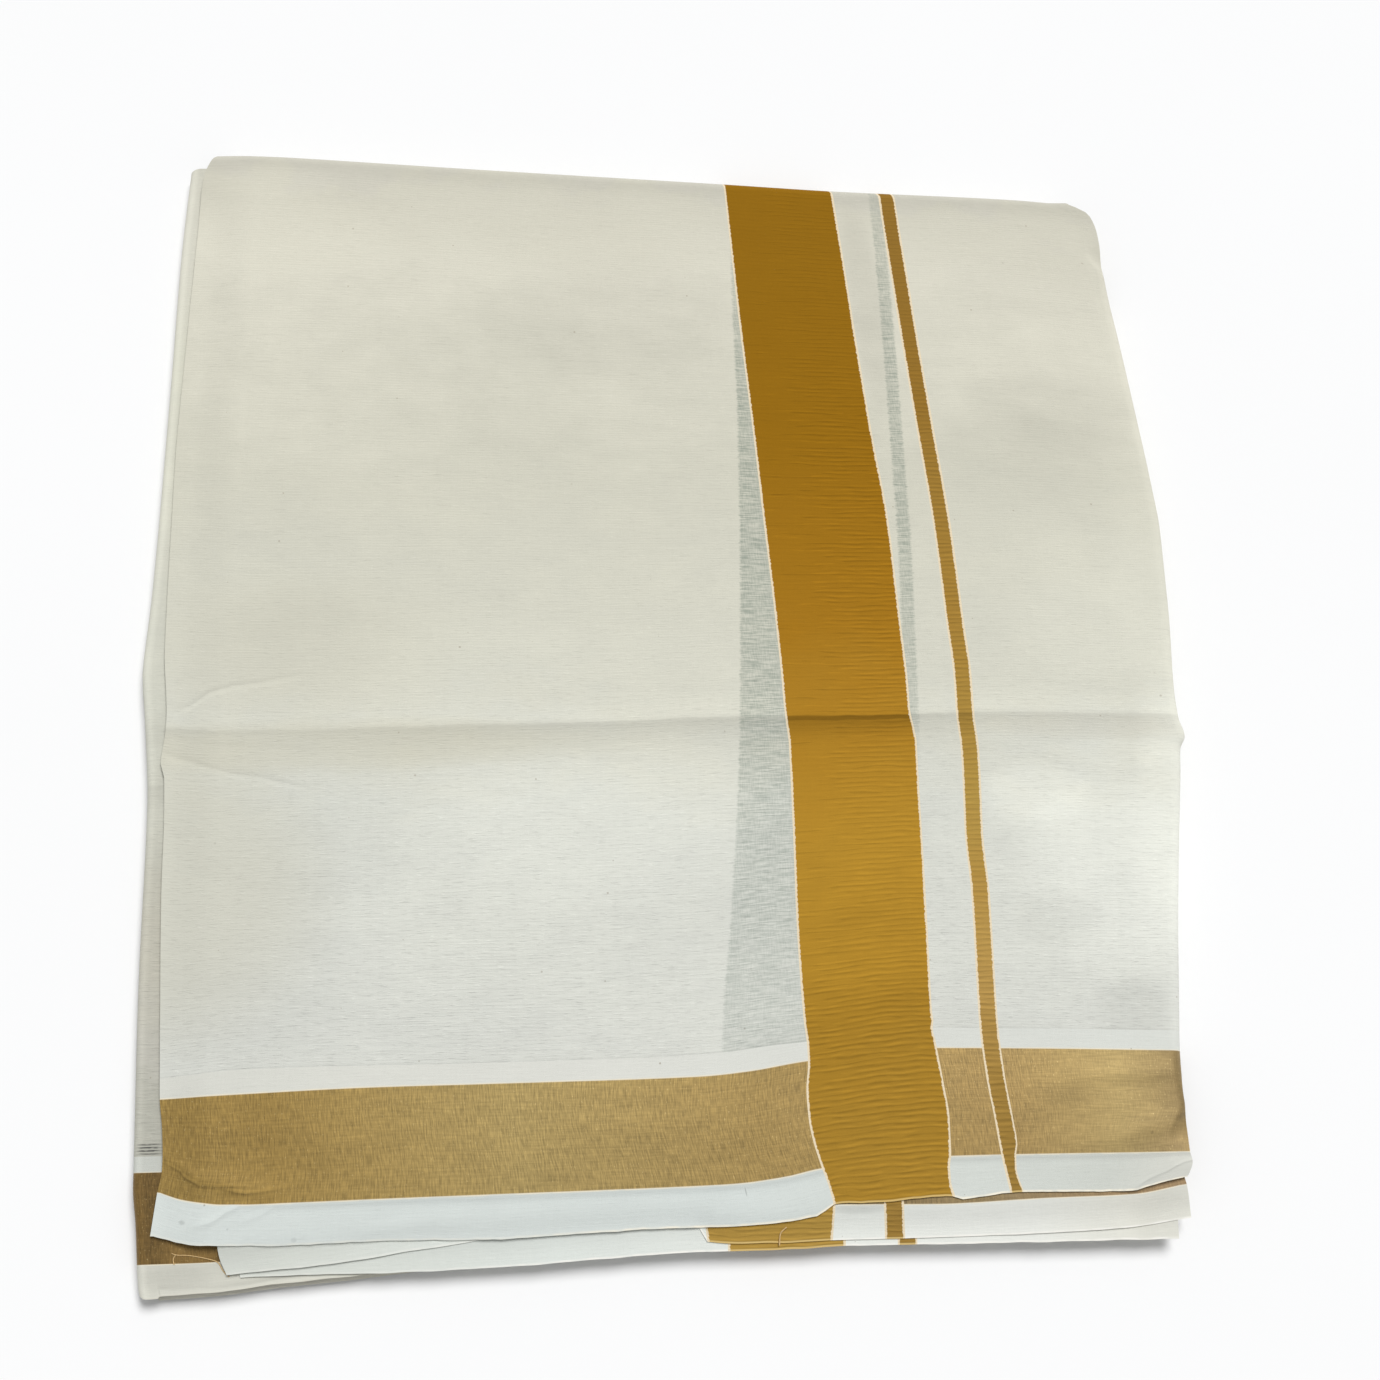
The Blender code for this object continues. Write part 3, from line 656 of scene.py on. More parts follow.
@dataclass
class FrontCloth:
    """The first end: its face, the crosswise fold and the back that rests on the floor.

    Attributes:
        roll_radius: of the rolled right edge's first bend.
        tuck_radius: of its second, tighter bend.
        roll_angle: how far the first bend turns.
        flat_run: cloth past the bend line where the edge lies flat.
        tail: cloth past both bends where the edge rolls right under.
        rolled_run: count of threads past the bend line.
        back_hem: how far the back's hem stands back from the face's.
        back_left: how far the back's left edge stands back.
        back_right: how far its right edge does.
        back_run: cloth of the back.
        bend_count: warp count of the bend line.
        turn_radius: of the crosswise fold, at the cloth's middle.
    """

    roll_radius: float = 5.3
    tuck_radius: float = 2.2
    roll_angle: float = math.radians(80)
    flat_run: float = 8.5
    tail: float = 3.0
    rolled_run: float = 14.2
    back_hem: float = 26.0
    back_left: float = 5.0
    back_right: float = 9.0
    back_run: float = 445.0
    bend_count: float = 426.5
    turn_radius: float = (FRONT_MID - BACK_MID - 2 * LIE + 0.7) / 2

    @property
    def turn_run(self) -> float:
        """Cloth in the crosswise fold."""
        return math.pi * self.turn_radius

    def rolled(self, y: Array) -> Array:
        """How far the right edge rolls over at Y: not at the hem, and not at the fold."""
        return smooth(y, -208.0, -158.0) * smooth(y, 212.0, 170.0)

    def _turns(self, rolled: Array) -> Places:
        """Angles of the two bends, and the cloth's run past the bend line.

        Args:
            rolled: how far the edge rolls, from 0 to 1.

        Returns:
            Both angles and the run.
        """
        first = self.roll_angle * rolled
        second = (math.pi - self.roll_angle) * rolled
        bends = self.roll_radius * first + self.tuck_radius * second
        tail = self.flat_run * smooth(rolled, 0.4, 0.0) + self.tail * smooth(rolled, 0.7, 1.0)
        return first, second, bends + tail

    def _roll(self, share: Array, rolled: Array) -> tuple[Array, Array]:
        """How far out and down the rolled edge lies, at a share of its run.

        Args:
            share: of the run.
            rolled: how far the edge rolls, from 0 to 1.

        Returns:
            How far out, and how far down.
        """
        first, second, run = self._turns(rolled)
        gone = share * run
        in_first = np.minimum(gone, self.roll_radius * first)
        in_second = np.clip(gone - self.roll_radius * first, 0.0, self.tuck_radius * second)
        tail = gone - in_first - in_second
        bend, tuck = in_first / self.roll_radius, first + in_second / self.tuck_radius
        past = in_second > 0
        out = self.roll_radius * np.sin(bend) + tail * np.cos(first + second)
        down = self.roll_radius * (1 - np.cos(bend)) + tail * np.sin(first + second)
        out = out + np.where(past, self.tuck_radius * (np.sin(tuck) - np.sin(first)), 0.0)
        down = down + np.where(past, self.tuck_radius * (np.cos(first) - np.cos(tuck)), 0.0)
        return out, down

    def _bend_line(self, rolled: Array, y: Array) -> Array:
        """Where the right edge starts to roll, so that its outside meets the panel's edge.

        Args:
            rolled: how far the edge rolls, from 0 to 1.
            y: places along.

        Returns:
            The line's X at each of them.
        """
        first, second, run = self._turns(rolled)
        whole = first + second
        tail = run - self.roll_radius * first - self.tuck_radius * second
        reach = self.roll_radius * np.sin(first)
        reach = reach + self.tuck_radius * (np.sin(np.minimum(whole, math.pi / 2)) - np.sin(first))
        return FRONT_RIGHT(y) - reach - tail * np.maximum(np.cos(whole), 0.0)

    def place(self, across: Array, along: Array) -> Places:
        """Lay the cloth.

        Args:
            across: warp counts.
            along: distances from the hem.

        Returns:
            X, Y and Z of the cloth's middle.
        """
        on_face = along <= FACE_LENGTH
        turn = math.pi * np.clip((along - FACE_LENGTH) / self.turn_run, 0.0, 1.0)
        back = np.clip((along - FACE_LENGTH - self.turn_run) / self.back_run, 0.0, 1.0)
        body = np.minimum(across, self.bend_count)
        past = np.clip((across - self.bend_count) / self.rolled_run, 0.0, 1.0)
        wefts = (FRONT_HEM, GOLD_NEAR, GOLD_FAR, DENSE_FAR, CREASE_LINE, fold_start)
        x, out = (body - FACE_WIDTH / 2) * 0.98, np.zeros(body.shape)
        for _ in range(SETTLING_ROUNDS):
            fold = fold_start(x)
            on_back = mix(fold, FRONT_HEM(x) + self.back_hem, back)
            y = between(FACE_WEFTS, wefts, np.minimum(along, FACE_LENGTH), x + out)
            y = np.where(on_face, y, fold + self.turn_radius * np.sin(turn))
            y = np.where(back > 0, on_back, y)
            rolled = np.where(on_face, self.rolled(y), 0.0)
            warps = (
                FRONT_LEFT, BAND_LEFT, BAND_RIGHT, STRIPE_LEFT, STRIPE_RIGHT,
                lambda at: self._bend_line(rolled, at),
            )
            x = between((0.0, *WARPS, self.bend_count), warps, body, y)
            out, down = self._roll(past, rolled)
        hem_wander = 0.3 * ripple(x, y * 0, 9.0, 1.0, 31.0) + 0.16 * ripple(x, y * 0, 4.0, 1.0, 37.0)
        y = y + hem_wander * smooth(along, 14.0, 0.0)
        x = x + 0.1 * ripple(y, x * 0, 17.0, 1.0, 41.0) * smooth(across, 12.0, 0.0)
        middle = BACK_MID - LIE + 0.05 + self.turn_radius
        wrapped = middle + self.turn_radius * np.cos(turn)
        z = np.where(on_face, front_height(x, y), wrapped) - down
        x = x + out
        drawn_in = mix(self.back_left, -self.back_right, np.clip(across / FACE_WIDTH, 0, 1))
        return x + drawn_in * (1 - np.cos(turn)) / 2, y, z

    def beneath(self, x: Array, y: Array) -> Array:
        """Warp count of the layer beneath, at each point of the face."""
        left, stripe = BENEATH_BAND_LEFT(y), BENEATH_STRIPE_LEFT(y)
        return BAND_START + (x - left) * (STRIPE_START - BAND_START) / (stripe - left)

    def build(self) -> Object:
        """Make the front cloth.

        Returns:
            The finished object.
        """
        columns = stations(
            *border_columns(46.0, 36), (self.bend_count, 30),
            (self.bend_count + self.rolled_run, 12),
        )
        turned = FACE_LENGTH + self.turn_run
        rows = stations(
            (MARGIN_END, 13), (GOLD_END, 34), (DENSE_END, 4), (188.0, 40), (222.0, 24),
            (470.0, 62), (FACE_LENGTH, 8), (turned, 14), (turned + self.back_run, 12),
        )
        sheet = Sheet("front_cloth", columns, rows, self.place, beneath=self.beneath)
        return sheet.build()


# How far back a hem draws for each millimetre that it settles.
DRAWN_IN = 0.34


@dataclass
class EndCloth:
    """A flat end that shows below the hems that lie on it.

    Attributes:
        name: the piece's name.
        node: the solid it stands for.
        middle: height of its middle.
        width: warp counts that it takes in, from its left edge to its right one.
        warps: where its warp threads lie: left edge, border, stripe and right edge.
        wefts: where its weft threads lie: hem, gold band, dense strip's end and fold.
        droop: how far its hem settles on the layer beneath, for each X.
        seed: which small waves run along its hem.
        covering_hem: the hem that covers it, beside which painted light lifts its shade, Y for each X.
    """

    name: str
    node: str
    middle: float
    width: tuple[float, float]
    warps: tuple[Reader, ...]
    wefts: tuple[Reader, ...]
    droop: Line
    seed: float
    covering_hem: Optional[Line] = None

    def place(self, across: Array, along: Array) -> Places:
        """Lay the cloth.

        Args:
            across: warp counts.
            along: distances from the hem.

        Returns:
            X, Y and Z of the cloth's middle.
        """
        start, end = self.width
        x = across - 240.0
        for _ in range(SETTLING_ROUNDS):
            y = between(WEFTS, self.wefts, along, x)
            x = between((start, *WARPS, end), self.warps, across, y)
        near = smooth(along, 16.0, 0.0)
        low = -self.droop(x) * near
        y = y + (0.3 * ripple(x, y * 0, 10.0, 1.0, self.seed)) * near - DRAWN_IN * low
        wave = 0.16 * ripple(x, y, 24.0, 30.0, self.seed + 5) * near
        return x, y, self.middle + low + np.minimum(wave, 0.12) + 0.06 * ripple(x, y, 50, 50, 2.0)

    def top(self, x: Array, y: Array) -> Array:
        """Height of this end's top near its hem.

        Args:
            x: places across.
            y: places along.

        Returns:
            The height at each of them.
        """
        hem, gold = (line(x) for line in self.wefts[:2])
        near = smooth(MARGIN_END * (y - hem) / (gold - hem), 16.0, 0.0)
        return self.middle + CLOTH / 2 - self.droop(x) * near

    def past_hem(self, x: Array, y: Array) -> Array:
        """How far each point lies out past the hem that covers this end."""
        return self.covering_hem(x) - y

    def build(self) -> Object:
        """Make this end.

        Returns:
            The finished object.
        """
        start, end = self.width
        columns = stations(*border_columns(start + 20.0, 8), (end, 34), start=start)
        rows = stations((MARGIN_END, 9), (GOLD_END, 14), (DENSE_END, 2), (FACE_LENGTH, 26))
        beneath = self.past_hem if self.covering_hem else None
        return Sheet(self.name, columns, rows, self.place, beneath=beneath).build()


def right_limit(y: Array) -> Array:
    """Right edge of the layers below the front cloth: inside its roll, bare at the near corner."""
    tucked = smooth(y, -218.0, -200.0)
    return mix(SECOND_RIGHT_NEAR(y), FRONT_RIGHT(y) - 7.0, tucked)


def inner_fold(x: Array) -> Array:
    """Y where the layers inside the crosswise fold end."""
    return CROSS_FOLD(x) - INNER_CLEARANCE


def second_end() -> EndCloth:
    """The end just below the front cloth's hem.

    Returns:
        Its shape.
    """
    hem = SECOND_HEM
    return EndCloth(
        name="second_end_cloth",
        node="second_end_panel",
        middle=SECOND_MID + LIE,
        width=(70.0, 459.0),
        warps=(
            SECOND_LEFT, SECOND_BAND_LEFT, SECOND_BAND_RIGHT, SECOND_STRIPE_LEFT,
            SECOND_STRIPE_LEFT.moved(6.2), right_limit,
        ),
        wefts=(hem, SECOND_GOLD_NEAR, hem.moved(GOLD_END), hem.moved(DENSE_END), inner_fold),
        droop=SECOND_DROOP,
        seed=51.0,
        covering_hem=FRONT_HEM,
    )


def third_end() -> EndCloth:
    """The end that peeps out below the second one.

    Returns:
        Its shape.
    """
    hem = THIRD_HEM

    def right(y: Array) -> Array:
        """Right edge: a little inside the second end's."""
        return mix(right_limit(y), 208.0, 1 - smooth(y, -218.0, -200.0))

    return EndCloth(
        name="third_end_cloth",
        node="third_end_panel",
        middle=THIRD_MID + LIE,
        width=(74.0, 455.0),
        warps=(
            SECOND_LEFT.moved(5.0), SECOND_BAND_LEFT.moved(8.1), SECOND_BAND_RIGHT.moved(5.2),
            SECOND_STRIPE_LEFT.moved(5.0), SECOND_STRIPE_LEFT.moved(11.0), right,
        ),
        wefts=(hem, *(hem.moved(place) for place in WEFTS[1:-1]), inner_fold),
        droop=Line((-170, 1.4), (208, 1.2)),
        seed=63.0,
    )


@dataclass
class SideFoldCloth:
    """The lowest end that shows: two leaves joined by a fold along the left side.

    Attributes:
        radius: of the fold, at the cloth's middle.
        leaf: cloth in each leaf past the fold.
        fold_count: warp count on the fold's outside.
        hem_droop: how far the upper hem settles.
        corner_droop: how far it settles beside the fold, where the fold is pressed flat.
    """

    radius: float = SIDE_FOLD_RADIUS + LIE
    leaf: float = 414.0
    fold_count: float = -420.0
    hem_droop: float = 0.9
    corner_droop: float = 1.2

    @property
    def turn_run(self) -> float:
        """Cloth in the fold."""
        return math.pi * self.radius

    def droop(self, x: Array, y: Array, along: Array) -> Array:
        """How far the upper leaf settles towards its hem.

        Args:
            x: places across.
            y: places along.
            along: distances from the hem.

        Returns:
            The way down at each of them.
        """
        fold = SIDE_FOLD_LEFT(y)
        corner = smooth(x, fold + 34.0, fold + 8.0)
        return mix(self.hem_droop, self.corner_droop, corner) * smooth(along, 15.0, 0.0)

    def top(self, x: Array, y: Array) -> Array:
        """Height of the upper leaf's top near its hem.

        Args:
            x: places across.
            y: places along.

        Returns:
            The height at each of them.
        """
        hem = SIDE_UPPER_HEM(x)
        along = MARGIN_END * (y - hem) / (SIDE_GOLD_NEAR(x) - hem)
        return SIDE_FOLD_CENTRE + self.radius + CLOTH / 2 - self.droop(x, y, np.maximum(along, 0.0))

    def place(self, across: Array, along: Array) -> Places:
        """Lay the cloth, with counts taken from the fold's outside, lower leaf below zero.

        Args:
            across: warp counts.
            along: distances from the hem.

        Returns:
            X, Y and Z of the cloth's middle.
        """
        half = self.turn_run / 2
        gone = across - self.fold_count
        turn = math.pi / 2 + np.clip(gone / half, -1.0, 1.0) * math.pi / 2
        share = np.clip((np.abs(gone) - half) / self.leaf, 0.0, 1.0)
        upper = (1 - np.cos(turn)) / 2
        cut_back = smooth(gone, half + 4.4, half + 5.4)

        def hem(at: Array) -> Array:
            """The hem of either leaf: the upper one's stands back."""
            return mix(SIDE_FOLD_HEM(at), SIDE_UPPER_HEM(at), cut_back)

        def fold(at: Array) -> Array:
            """Where both leaves end: a little further in at the left."""
            return inner_fold(at) + 0.3 + 1.5 * smooth(at, -228.5, -223.5)

        wefts = (hem, SIDE_GOLD_NEAR, SIDE_GOLD_FAR, SIDE_DENSE_FAR, fold)
        x = np.abs(gone) - 215.0
        for _ in range(SETTLING_ROUNDS):
            y = between(WEFTS, wefts, along, x)
            centre = SIDE_FOLD_LEFT(y) + self.radius + CLOTH / 2
            x = mix(centre, FRONT_RIGHT(y) - 8.5, share) - self.radius * np.sin(turn)
        z = SIDE_FOLD_CENTRE - self.radius * np.cos(turn) - self.droop(x, y, along) * upper
        y = y + 0.35 * ripple(x, upper, 11.0, 0.5, 71.0) * smooth(along, 14.0, 0.0)
        wave = 0.12 * ripple(x, y, 22.0, 34.0, 77.0) * smooth(share, 0.0, 0.03)
        return x, y, z + np.where(upper > 0.5, wave, -0.4 * np.abs(wave))

    def build(self) -> Object:
        """Make both leaves and the fold.

        Returns:
            The finished object.
        """
        half = self.turn_run / 2
        leaf = stations((4.2, 3), (5.6, 3), (40.0, 14), (self.leaf, 34))
        turn = np.linspace(-half, half, 13)
        columns = np.concatenate([-leaf[::-1] - half, turn[1:-1], leaf + half]) + self.fold_count
        rows = stations(
            (MARGIN_END, 9), (GOLD_END, 18), (DENSE_END, 4), (CREASE_PLACE, 24), (FACE_LENGTH, 36)
        )
        return Sheet("side_fold_cloth", columns, rows, self.place).build()


@dataclass
class HiddenLayers:
    """The layers that show only at their edges: a long zigzag, and single leaves between.

    Attributes:
        layers: how many the zigzag has.
        bottom: height of its lowest layer.
        pitch: from one of its layers to the next.
        thickness: of a layer.
        leaves: (height, how far its hem stands back) of each single leaf.
        between_ends: the same for the leaves under the second end.
    """

    layers: int = 8
    bottom: float = CORE_BOTTOM + 0.25
    pitch: float = (CORE_THICKNESS - 0.5) / 7
    thickness: float = 0.32
    leaves: tuple[tuple[float, float], ...] = ((1.03, 34.0), (2.5, -1.6), (7.1, 13.0))
    between_ends: tuple[tuple[float, float], ...] = ((8.6, 14.5), (10.1, 11.0))

    def _plan_between(self, u: Array, v: Array, layer: Array, back: float) -> tuple[Array, Array]:
        """Lay out a leaf that lies wholly under the second end.

        Args:
            u: shares of its width.
            v: shares of its length.
            layer: its height.
            back: how far its hem stands back.

        Returns:
            X and Y.
        """
        x = mix(-170.0, 200.0, u)
        for _ in range(PLAN_ROUNDS):
            hem = np.maximum(SECOND_HEM(x), THIRD_HEM(x)) + back
            hem = hem + 0.5 * ripple(x, layer, 13.0, 0.9, 8.8)
            y = mix(hem, inner_fold(x) - 0.6, v)
            x = mix(SECOND_LEFT(y) + 8.0, right_limit(y) - 4.0, u)
        return x, y

    def _plan(
        self, u: Array, v: Array, layer: Array, back: float, raised: Number = 1.0
    ) -> tuple[Array, Array]:
        """Lay out a hidden layer, stepped by its height.

        Args:
            u: shares of its width.
            v: shares of its length.
            layer: its height.
            back: how far its hem stands back.
            raised: how far up the zigzag it lies, from 0 to 1.

        Returns:
            X and Y.
        """
        step = 0.9 * ripple(layer, layer * 0, 0.83, 1.0, 5.5) + 0.5
        x = mix(-190.0, 205.0, u)
        for _ in range(PLAN_ROUNDS):
            hem = mix(SIDE_FOLD_HEM(x) + 0.5, SIDE_UPPER_HEM(x), raised)
            hem = hem + back + np.abs(step) * 0.5
            hem = hem + 0.3 * ripple(x, layer, 13.0, 0.9, 8.8)
            y = mix(hem, inner_fold(x) - 0.6, v)
            left = SIDE_FOLD_LEFT(y) + 6.4 + np.abs(step)
            right = FRONT_RIGHT(y) - 10.0 - np.abs(step)
            x = mix(left, right, u)
        return x, y

    def _zigzag(self, across: Array, along: Array) -> Places:
        """Lay the zigzag.

        Args:
            across: counts of layers gone.
            along: shares of the way from hem to fold.

        Returns:
            X, Y and Z.
        """
        layer = np.floor(across + 1e-6)
        within = across - layer
        flat = np.clip(within / 0.9, 0.0, 1.0)
        turn = np.clip((within - 0.9) / 0.1, 0.0, 1.0) * math.pi
        rightward = layer % 2 < 1
        share = np.where(rightward, flat, 1 - flat)
        level = layer + (1 - np.cos(turn)) / 2
        x, y = self._plan(share, along, level, 0.3, level / (self.layers - 1))
        bulge = self.pitch / 2 * np.sin(turn)
        x = x + np.where(rightward, bulge, -bulge)
        return x, y, self.bottom + self.pitch * level

    def build(self) -> list[Object]:
        """Make the zigzag and the single leaves.

        Returns:
            The zigzag, then the leaves.
        """
        one = np.concatenate([np.linspace(0.0, 0.9, 15), np.linspace(0.9, 1.0, 6)[1:-1]])
        columns = np.concatenate([one + layer for layer in range(self.layers)])
        columns = columns[columns <= self.layers - 1 + 0.9 + 1e-6]
        rows = np.concatenate([np.linspace(0.0, 0.04, 5), np.linspace(0.04, 1.0, 24)[1:]])
        plain = {"thickness": self.thickness, "counted": False}
        pieces = [Sheet("hidden_layers", columns, rows, self._zigzag, **plain).build()]
        grid = np.linspace(0.0, 1.0, 31)
        plans = [(self._plan, *leaf) for leaf in self.leaves]
        plans += [(self._plan_between, *leaf) for leaf in self.between_ends]
        for number, (plan, height, back) in enumerate(plans, start=1):

            def lay(
                u: Array, v: Array, plan: Callable = plan, height: float = height, back: float = back
            ) -> Places:
                """Lay one leaf level, with a soft wave along its hem."""
                x, y = plan(u, v, u * 0 + height, back)
                return x, y, height + 0.08 * ripple(x, y, 30.0, 30.0, height)

            name = f"hidden_leaf_{number}"
            pieces.append(Sheet(name, grid, rows, lay, **plain).build())
        return pieces


@dataclass
class LooseThreads:
    """Fine threads that lie on the cloth near its hems.

    Attributes:
        side: the cloth that most of them lie on.
        second: the end that one of them lies on.
        radius: of a thread.
        second_radius: of the one on the second end, which has come untwisted.
        on_side: points of each thread on the side cloth.
        on_second: points of the one on the second end.
    """

    side: SideFoldCloth
    second: EndCloth
    radius: float = 0.18
    second_radius: float = 0.27
    on_side: tuple[tuple[tuple[float, float], ...], ...] = (
        (
            (-188.6, -245.0), (-187.0, -245.8), (-182.5, -245.6), (-175.7, -246.7),
            (-170.9, -247.8), (-169.4, -248.9), (-167.8, -251.9), (-165.4, -253.7),
        ),
        ((-187.0, -245.6), (-187.9, -246.8), (-187.6, -248.4), (-187.2, -249.2)),
    )
    on_second: tuple[tuple[float, float], ...] = (
        (50.3, -242.0), (50.4, -240.0), (50.6, -238.0), (51.3, -236.6), (53.2, -235.2),
    )

    def _paths(self) -> list[list[Triple]]:
        """Points of each thread, on the cloth below it.

        Returns:
            (X, Y, Z) of the points of each thread.
        """
        paths = []
        for points in self.on_side:
            x, y = np.array(points).T
            paths.append(list(zip(x, y, self.side.top(x, y))))
        x, y = np.array(self.on_second).T
        paths.append(list(zip(x, y, self.second.top(x, y) + 0.1)))
        return paths

    def build(self) -> Object:
        """Make the threads: one curve of round section each, in one piece.

        Returns:
            The finished object.
        """
        curve = bpy.data.curves.new("loose_threads", "CURVE")
        curve.dimensions = "3D"
        curve.bevel_depth = self.radius * MM
        curve.bevel_resolution = 1
        curve.resolution_u = 4
        curve.use_fill_caps = True
        paths = self._paths()
        for points in paths:
            thick = self.second_radius / self.radius if points is paths[-1] else 1.0
            spline = curve.splines.new("NURBS")
            spline.points.add(len(points) - 1)
            spline.order_u = 3
            spline.use_endpoint_u = True
            for index, (point, (x, y, z)) in enumerate(zip(spline.points, points)):
                lift = self.radius * thick * (1.2 + 0.5 * math.sin(index * 1.7) ** 2)
                point.co = (x * MM, y * MM, (z + lift) * MM, 1.0)
                point.radius = thick
        return placed("loose_threads", curve)


# ---- Nodes ----


def srgb(red: float, green: float, blue: float) -> Colour:
    """Turn a colour of 0 to 255 values, as a screen shows it, into a linear one.

    Args:
        red: its red.
        green: its green.
        blue: its blue.

    Returns:
        The linear colour.
    """

    def linear(value: float) -> float:
        """Turn one channel."""
        share = value / 255
        return share / 12.92 if share <= 0.04045 else ((share + 0.055) / 1.055) ** 2.4

    return linear(red), linear(green), linear(blue)


Stops = Sequence[tuple[float, Colour]]


def stops(length: float, *rows: tuple[float, float, float, float]) -> Stops:
    """Turn rows of a place, red, green and blue into colour stops, as shares of a length."""
    return tuple((place / length, srgb(*colour)) for place, *colour in rows)


def spaced(values: dict[str, "Value"]) -> dict[str, "Value"]:
    """Give sockets their own names back, which have a space for each _."""
    return {name.replace("_", " "): value for name, value in values.items()}


def reckon(operation: str, swapped: bool = False) -> Callable[..., "Field"]:
    """Make an operator of a field.

    Args:
        operation: the Math node's.
        swapped: whether the field comes last.

    Returns:
        The operator.
    """

    def operator(field: "Field", *others: "Value") -> "Field":
        """Add the Math node."""
        values = (*others, field) if swapped else (field, *others)
        return field.tree.math(operation, *values)

    return operator


class Field:
    """A value or colour that changes over the surface, and is reckoned with as a number is."""

    def __init__(self, tree: "Tree", socket: NodeSocket) -> None:
        """Hold one output of a tree's node."""
        self.tree, self.socket = tree, socket

    __add__, __mul__, __truediv__ = reckon("ADD"), reckon("MULTIPLY"), reckon("DIVIDE")
    __sub__, __rsub__ = reckon("SUBTRACT"), reckon("SUBTRACT", swapped=True)
    __abs__ = reckon("ABSOLUTE")


RAMP_INPUTS = ("Value", "From Min", "From Max", "To Min", "To Max")
SPOT_INPUTS = ("At Across", "At Along", "Wide", "Deep")


class Tree:
    """Lays out the nodes of one material or shared group.

    Attributes:
        across: the warp count that its patterns read, in millimetres.
        along: the distance from the hem that they read.
    """

    across: Field
    along: Field

    def __init__(self, tree: NodeTree) -> None:
        """Start from an empty tree."""
        self.tree = tree
        tree.nodes.clear()

    def put(self, socket: NodeSocket, value: "Value") -> None:
        """Link a field into an input, or set the input's own value.

        Args:
            socket: the input.
            value: what goes into it.
        """
        if isinstance(value, Field):
            self.tree.links.new(value.socket, socket)
        elif isinstance(value, tuple) and len(socket.default_value) == 4:
            socket.default_value = (*value, 1.0)
        else:
            socket.default_value = value

    def add(self, kind: str, given: dict[Union[str, int], "Value"], **settings: object) -> Node:
        """Add a node.

        Args:
            kind: the node's type.
            given: what goes into its inputs, by their name or number.
            settings: its own settings by name.

        Returns:
            The new node.
        """
        node = self.tree.nodes.new(kind)
        for name, value in settings.items():
            setattr(node, name, value)
        for name, value in given.items():
            self.put(node.inputs[name], value)
        return node

    def field(
        self,
        kind: str,
        given: dict[Union[str, int], "Value"],
        output: Union[str, int] = 0,
        **settings: object,
    ) -> Field:
        """Add a node, and give one of its outputs."""
        return Field(self, self.add(kind, given, **settings).outputs[output])

    def math(self, operation: str, *values: "Value") -> Field:
        """Reckon with values in a Math node."""
        return self.field("ShaderNodeMath", dict(enumerate(values)), operation=operation)

    def ramp(
        self, value: Field, low: "Value", high: "Value", start: "Value" = 0.0, end: "Value" = 1.0
    ) -> Field:
        """Go smoothly from start to end while a value goes from low to high."""
        given = dict(zip(RAMP_INPUTS, (value, low, high, start, end)))
        return self.field("ShaderNodeMapRange", given, interpolation_type="SMOOTHSTEP")

    def fall(self, value: Field, low: "Value", high: "Value") -> Field:
        """Go smoothly from 1 to 0 while a value goes from low to high."""
        return self.ramp(value, low, high, 1.0, 0.0)

    def wave(self, place: Field, pitch: Field) -> Field:
        """Swing between -1 and 1, once in each pitch."""
        return self.math("SINE", place * math.tau / pitch)

    def place(self, across: Field, along: Field) -> Field:
        """Join two lengths into a vector."""
        return self.field("ShaderNodeCombineXYZ", {0: across, 1: along})

    def parts(self, vector: Field) -> tuple[Field, Field]:
        """Take the first two parts out of a vector or colour."""
        node = self.add("ShaderNodeSeparateXYZ", {0: vector})
        return Field(self, node.outputs[0]), Field(self, node.outputs[1])

    def grain(
        self,
        wide: "Value",
        deep: "Value",
        detail: float = 1.0,
        at: Optional[tuple[Field, Field]] = None,
    ) -> Field:
        """Lay soft noise over the cloth.

        Args:
            wide: size of a grain across.
            deep: size of a grain along.
            detail: how much finer noise it holds.
            at: the place to read it at, where that isn't the cloth's own.

        Returns:
            A value from 0 to 1.
        """
        across, along = at or (self.across, self.along)
        vector = self.place(across / wide, along / deep)
        given = {"Vector": vector, "Scale": 1.0, "Detail": detail, "Roughness": 0.5}
        return self.field("ShaderNodeTexNoise", given, "Fac", noise_dimensions="2D")

    def wander(self, wide: float, deep: float, detail: float = 1.0) -> Field:
        """Lay the same noise round 0, from -0.5 to 0.5."""
        return self.grain(wide, deep, detail) - 0.5

    def object_noise(self, scale: float) -> Field:
        """Lay noise of a scale through the whole object."""
        source = self.field("ShaderNodeTexCoord", {}, "Object")
        return self.field("ShaderNodeTexNoise", {"Vector": source, "Scale": scale}, "Fac")

    def blend(self, share: "Value", a: "Value", b: "Value") -> Field:
        """Go from one colour to another by a share of the way."""
        given = {0: share, 6: a, 7: b}
        return self.field("ShaderNodeMix", given, 2, data_type="RGBA", blend_type="MIX")

    def gradient(self, place: Field, marks: Stops) -> Field:
        """Give the colour at a place along a run of stops.

        Args:
            place: a share of the run.
            marks: the stops.

        Returns:
            The colour.
        """
        node = self.add("ShaderNodeValToRGB", {0: place})
        elements = node.color_ramp.elements
        for index, (at, colour) in enumerate(marks):
            element = elements[index] if index < 2 else elements.new(at)
            element.position = at
            element.color = (*colour, 1.0)
        return Field(self, node.outputs[0])

    def shade(self, colour: "Value", amount: "Value") -> Field:
        """Multiply a colour by an amount."""
        return self.field("ShaderNodeVectorMath", {0: colour, "Scale": amount}, operation="SCALE")

